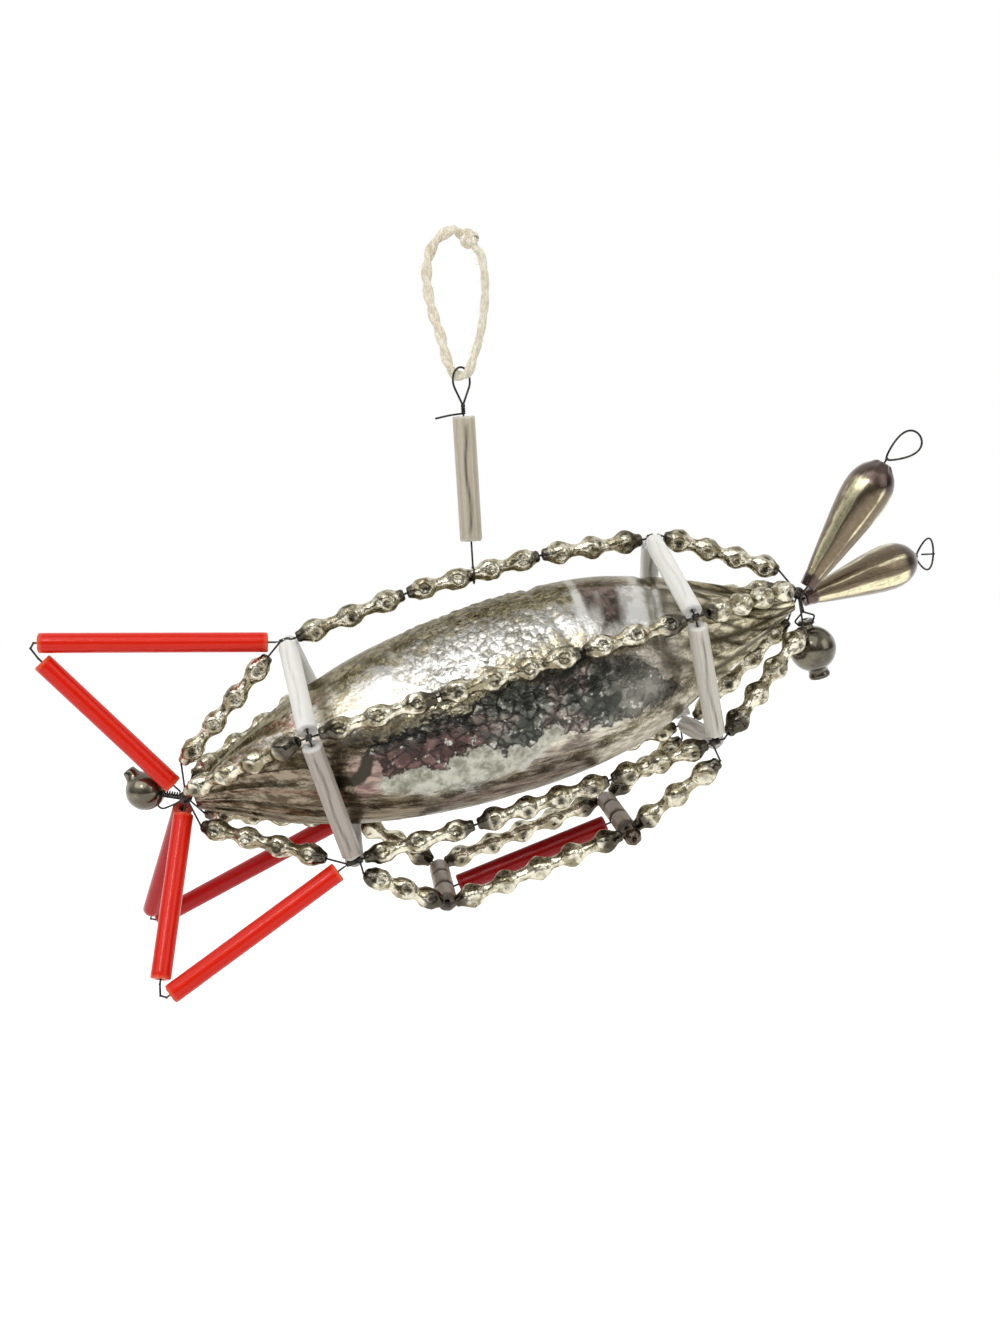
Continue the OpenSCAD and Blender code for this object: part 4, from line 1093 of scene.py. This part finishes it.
# ---------------- blades and balls
BLADE_L, BLADE_D, LOOP_GAP = 29.5, 10.2, 1.0
BLADE_FOOT = [Vector((1.7, -2, 1.2)), Vector((1.5, 2, -2))]
BLADE_WAY = [Vector((0.72, -0.1, 0.69)).normalized(), Vector((0.93, 0.25, -0.03)).normalized()]
LOOP_WAY = [Vector((0.93, -0.15, 0.33)).normalized(), Vector((0.78, 0.6, -0.2)).normalized()]
LOOP_L, LOOP_W, LOOP_BAR = [8.0, 7.5], [5.4, 7.6], 8.0
BLADE_NAMES = ["upper", "lower"]
BLADE_STRIPES = [  # painted highlight stripes: place across the drop, width and strength
    [(-0.62, 0.24, 1.0), (0.42, 0.09, 0.55), (0.9, 0.16, 0.5)],
    [(0.62, 0.22, 1.0), (-0.25, 0.1, 0.5), (-0.95, 0.12, 0.4)],
]
BLADE_FORM = [
    (0, 0.33), (0.1, 0.4), (0.25, 0.56), (0.4, 0.71), (0.55, 0.86), (0.67, 0.96), (0.76, 1),
    (0.84, 0.96), (0.9, 0.84), (0.95, 0.66), (0.985, 0.44), (1, 0.28),
]
BLADE_STEPS = 70
BALL_D, BALL_HANG, RING_R, RING_UP, NECK_H, SPLIT_UP, SPLIT_W = 10.0, 12.6, 1.65, 0.9, 1.9, 3.4, 2.3
TAIL_BALL_D, TAIL_BALL_AT, TAIL_BEND = 8.2, Vector((-7.9, 3.2, 3.2)), Vector((-2.6, 0.9, -0.9))
TAIL_BALL_WAY = Vector((-0.33, 0.05, 0.94)).normalized()


def make_blade(i):
    """A drop of drawn glass, crimped shut round its wire at the wide end."""
    foot, way, bore = NOSE + BLADE_FOOT[i], BLADE_WAY[i], WIRE_D / 2 + 0.05
    profile = [(bore, 0.6), (bore + 0.1, 0.0)]
    for s in range(BLADE_STEPS + 1):
        profile.append((table_smooth(BLADE_FORM, s / BLADE_STEPS) * BLADE_D / 2, s / BLADE_STEPS * BLADE_L))
    profile += [(bore + 0.1, BLADE_L), (bore, BLADE_L - 0.6)]

    def form(rr, z, angle):
        if rr < bore + 0.3:
            return rr, z
        f = z / BLADE_L
        crimp = 0.22 * fade((f - 0.93) / 0.05) * wave(9 * angle)
        pinch = 0.14 * fade((0.09 - f) / 0.08) * wave(7 * angle)
        ribs = 0.035 * (0.5 + 0.5 * sin(5 * angle + 1.3)) * sin(pi * f)
        return rr - crimp - pinch - 0.1 * bell(f - 0.105, 0.012) - ribs, z

    # the way across the drop as seen from the front, along which the painted highlights are placed
    edge = along_matrix(foot, foot + way).transposed() @ way.cross(Vector((0, -1, 0.2))).normalized()

    def gold(rr, z, angle):
        """Painted highlight stripes that run down the drop, placed by how far they lie toward its lower edge as seen
        from the front.
        """
        across = edge.x * cos(angle) + edge.y * sin(angle)
        return max(w * bell(across - at, wide) for at, wide, w in BLADE_STRIPES[i])

    shape = Shape()
    shape.lathe(foot, foot + way, profile, 96, form, gold=gold, along=lambda rr, z, angle: z / BLADE_L,
                line=lambda rr, z, angle: cos(angle - 1.0) + 0.6 * sin(2 * angle))
    name = f"blade_{BLADE_NAMES[i]}"
    shape.make(f"blade_drop_{BLADE_NAMES[i]}", "blade_glass", [name], body=name)


def ball_waver(z, angle, seed=0.0):
    return 0.02 * (1 + bump_noise(spun(angle, z=z * 0.4), 1.1, seed))


def make_nose_ball():
    """A blown ball with a rolled lip below and a neck above, hung from the wire round its neck."""
    r, centre = BALL_D / 2, NOSE - UP * BALL_HANG
    neck_r, rim_r = RING_R - WIRE_D / 2 - 0.1, RING_R - 0.05
    rim_z = r + RING_UP + WIRE_D / 2 + 0.15
    lip = ((0.15, 1.4), (1.7, 1.6), (2.2, 1.45), (2.36, 1.05), (2.3, 0.6), (2.2, 0.15))
    profile = [(rr, -r - below) for rr, below in lip] + ball_arc(r, asin(2.25 / r), pi - 0.28, 40)
    profile += [(neck_r, r + 0.15), (neck_r, rim_z - 0.1), (rim_r, rim_z), (rim_r, rim_z + 0.25)]
    profile += [(neck_r, rim_z + 0.4), (0.6, rim_z + 0.4), (0.55, r - 0.5), (0.15, r - 0.6)]

    def form(rr, z, angle):
        ring = 0.09 * bell(z + r + 0.15, 0.16) + 0.05 * bell(z + r * 0.8, 0.2)
        return rr - (ring if rr > 1 else 0) - ball_waver(z, angle), z

    ball = Shape().lathe(centre, centre + UP, profile, 72, form, loop=False, caps=True)
    ball.make("nose_ball_smoky", "smoky_glass", ["nose_ball"])


def make_tail_ball():
    r = TAIL_BALL_D / 2
    profile = [(0.5, -r + 1.2)] + ball_arc(r, asin(0.5 / r), pi - acos(0.86), 36)
    neck = ((1.72, -0.1), (1.55, 0.5), (1.42, 1.1), (1.3, 1.5), (1.0, 1.6), (0.3, 1.3))
    profile += [(rr, r + above) for rr, above in neck]
    shape = Shape()
    shape.lathe(
        TAIL_BALL_AT, TAIL_BALL_AT + TAIL_BALL_WAY, profile, 64,
        lambda rr, z, angle: (rr - ball_waver(z, angle, 3) if rr > 1 else rr, z), loop=False, caps=True)
    shape.make("tail_ball_satin", "smoky_glass", ["tail_ball"], "tail_glass")


# ---------------- wire
THIN, FINE, KNOT_R, KNOT_TURNS = WIRE_D * 0.8, WIRE_D * 0.9, KNOT_D / 2 - 0.15, 26
# collars of wire: how far before and after their middle they reach, their radius and their turns
CORNER_COLLAR, FIN_COLLAR, BIND_COLLAR = (0.62, 0.62, 0.56, 2.6), (0.5, 0.45, 0.54, 2.1), (0.45, 0.45, 0.54, 2.1)
HANGER_TUBE_D, HANGER_TUBE_L, HANGER_GAP, EYE_W, EYE_H, EYE_TURN = 4.6, 25.2, 6.9, 5.3, 7.5, radians(45)
TWIST_UP, TWIST_L, LOOSE_END = 0.5, 1.6, Vector((-5.8, -0.6, -0.2))
HOOK_R = NECK_D / 2 + 0.4 + WIRE_D / 2
CAD_WIRES = ("core_wire", "strand_wires", "rear_ring_wire", "front_ring_wire", "fin_top_wire", "fin_near_wire",
             "fin_far_wire", "gondola_wire")


def teardrop(foot, way, across, length, width):
    """A closed loop of wire that starts and ends at foot."""
    out = []
    for t in angles(40):
        far = wave(t)
        out.append(foot + way * length * far + across * width / 2 * sin(t) * (0.35 + 0.65 * far) * 1.25)
    return out


def ball_winding(shape, centre, r, count, d=THIN):
    """Turns of wire wound criss-cross into a ball."""
    for _ in range(count):
        pole = Vector((rng.gauss(0, 1), rng.gauss(0, 1), rng.gauss(0, 1))).normalized()
        side = pole.orthogonal().normalized()
        other = pole.cross(side)
        lift = rng.uniform(-0.55, 0.55) * r
        around = sqrt(r**2 - lift**2)
        middle = Vector(centre) + pole * lift
        shape.sweep([middle + (side * cos(t) + other * sin(t)) * around for t in angles(22)], d, sides=7, closed=True)


def collar(shape, at, before, after, r, turns):
    """Turns of wire wound forward round a point of the bead cage."""
    shape.sweep(helix(at - X * before, at + X * after, r, turns, rng.uniform(0, 6)), THIN, sides=7)


def make_bound_corners():
    bound = Shape()
    for ring in (REAR, FRONT):
        for k in range(5):
            collar(bound, corner(ring, k), *CORNER_COLLAR)
    for fin in FINS.values():
        collar(bound, corner(REAR, fin["corner"]) - X * COLLAR_STEP, *FIN_COLLAR)
    for end in (0, 1):
        for side in (-1, 1):
            collar(bound, gondola_bind(end, side)[0], *BIND_COLLAR)
            ball_winding(bound, gondola_corner(end, side), 0.42, 5)
    bound.make("bound_corners", "binding_wire")


def make_tail_knot():
    knots = Shape()
    ball_winding(knots, TAIL, KNOT_R, KNOT_TURNS, FINE)
    into_ball = [TAIL_BALL_AT - TAIL_BALL_WAY * (TAIL_BALL_D / 2 + out) for out in (1, -2)]
    knots.sweep(rounded([TAIL, TAIL_BEND, *into_ball], 1.2, 6))
    to_ball = (TAIL - TAIL_BALL_AT).normalized()
    for start in (0.0, 2.1, 4.2):
        bundle = helix(TAIL, TAIL_BALL_AT + to_ball * (TAIL_BALL_D / 2 - 0.3), 0.62, 3.2, start)
        knots.sweep(bundle, FINE, sides=8)
    knots.make("tail_knot_wound", "binding_wire", ["tail_knot"])


def make_nose_knot():
    nose = Shape()
    ball_winding(nose, NOSE, KNOT_R, KNOT_TURNS, FINE)
    for i in (0, 1):
        foot, way, out = NOSE + BLADE_FOOT[i], BLADE_WAY[i], LOOP_WAY[i]
        tip = foot + way * (BLADE_L + LOOP_GAP)
        nose.sweep(rounded([NOSE, foot - way * LOOP_GAP, tip], 0.8))
        ball_winding(nose, tip, 0.22, 4)
        across = out.cross(Vector((0, 1, 0)).cross(out)).cross(out).normalized()
        nose.sweep(teardrop(tip, out, across, LOOP_L[i], LOOP_W[i]), WIRE_D * 1.1, closed=True)
    # the cross bar of the lower loop, which came last
    nose.sweep([tip + out * 2.4 - across * 0.2, tip + out * LOOP_BAR + across * 0.3])
    ring_z, rim_z, split_z = (BALL_D / 2 + up - BALL_HANG for up in (RING_UP, NECK_H, SPLIT_UP))
    split = NOSE + UP * split_z
    for turn in (0.0, pi):
        nose.sweep(helix(NOSE - UP * (KNOT_D / 2 - 0.3), split, 0.2, 3.5, turn), WIRE_D * 1.05, sides=8)
    for side in (-1, 1):
        leg = [split, *(NOSE + Vector((side * out, 0, z)) for out, z in ((SPLIT_W, rim_z), (RING_R, ring_z)))]
        nose.sweep(rounded(leg, 0.5))
    for up in (-0.16, 0.1):
        ring = [NOSE + spun(t, RING_R, ring_z + up + 0.05 * sin(2 * t)) for t in angles(36)]
        nose.sweep(ring, WIRE_D * 0.75, closed=True)
    nose.make("nose_knot_wound", "binding_wire", ["nose_knot"])


def make_hanger():
    top = HANGER_GAP + HANGER_TUBE_L
    twist, eye = UP * (top + TWIST_UP), UP * (top + TWIST_UP + TWIST_L)
    wire = Shape(hanger_place)
    wire.sweep([Vector((0, HOOK_R * sin(t), HOOK_R * cos(t))) for t in angles(40)], WIRE_D * 0.95, closed=True)
    wire.sweep([(0, 0, HOOK_R), (0, 0, top), eye])
    for turn in (0.0, pi):
        wire.sweep(helix(twist, eye, 0.27, 1.75, turn), WIRE_D * 0.95, sides=9)
    wire.sweep(rounded([twist, (-2.7, -0.3, top + 0.32), UP * top + LOOSE_END], 1.0))
    ball_winding(wire, eye, 0.3, 4)
    r, rise = EYE_W / 2, EYE_H - EYE_W / 2
    half = acos(r / rise)
    arc = [half - pi / 2 + (tau - 2 * half) * s / 36 for s in range(37)]
    loop = [spun(EYE_TURN) * r * cos(a) + UP * (eye.z + rise + r * sin(a)) for a in arc]
    wire.sweep([eye, eye.lerp(loop[0], 0.5)] + loop + [eye.lerp(loop[-1], 0.5), eye], WIRE_D * 1.1)
    wire.make("hanger_wire_twisted", "binding_wire", ["hanger_wire"], body="hanger")
    glass_tube("hanger_satin_tube", "hanger_tube", (0, 0, HANGER_GAP), (0, 0, top), 0, 0, "beige_tube",
               d=HANGER_TUBE_D, ragged=0.14, core=1.0, body="hanger_tube", place=hanger_place)


def dress_cad_wires():
    """The straight wires inside the beads and tubes stay CAD solids, in the wire's finish."""
    for name in CAD_WIRES:
        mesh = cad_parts[name].data
        mesh.materials.clear()
        mesh.materials.append(MAT["binding_wire"])


make_envelope()
make_rings()
make_strands()
make_fins()
make_gondola()
make_blade(0)
make_blade(1)
make_nose_ball()
make_tail_ball()
make_bound_corners()
make_tail_knot()
make_nose_knot()
make_hanger()
dress_cad_wires()
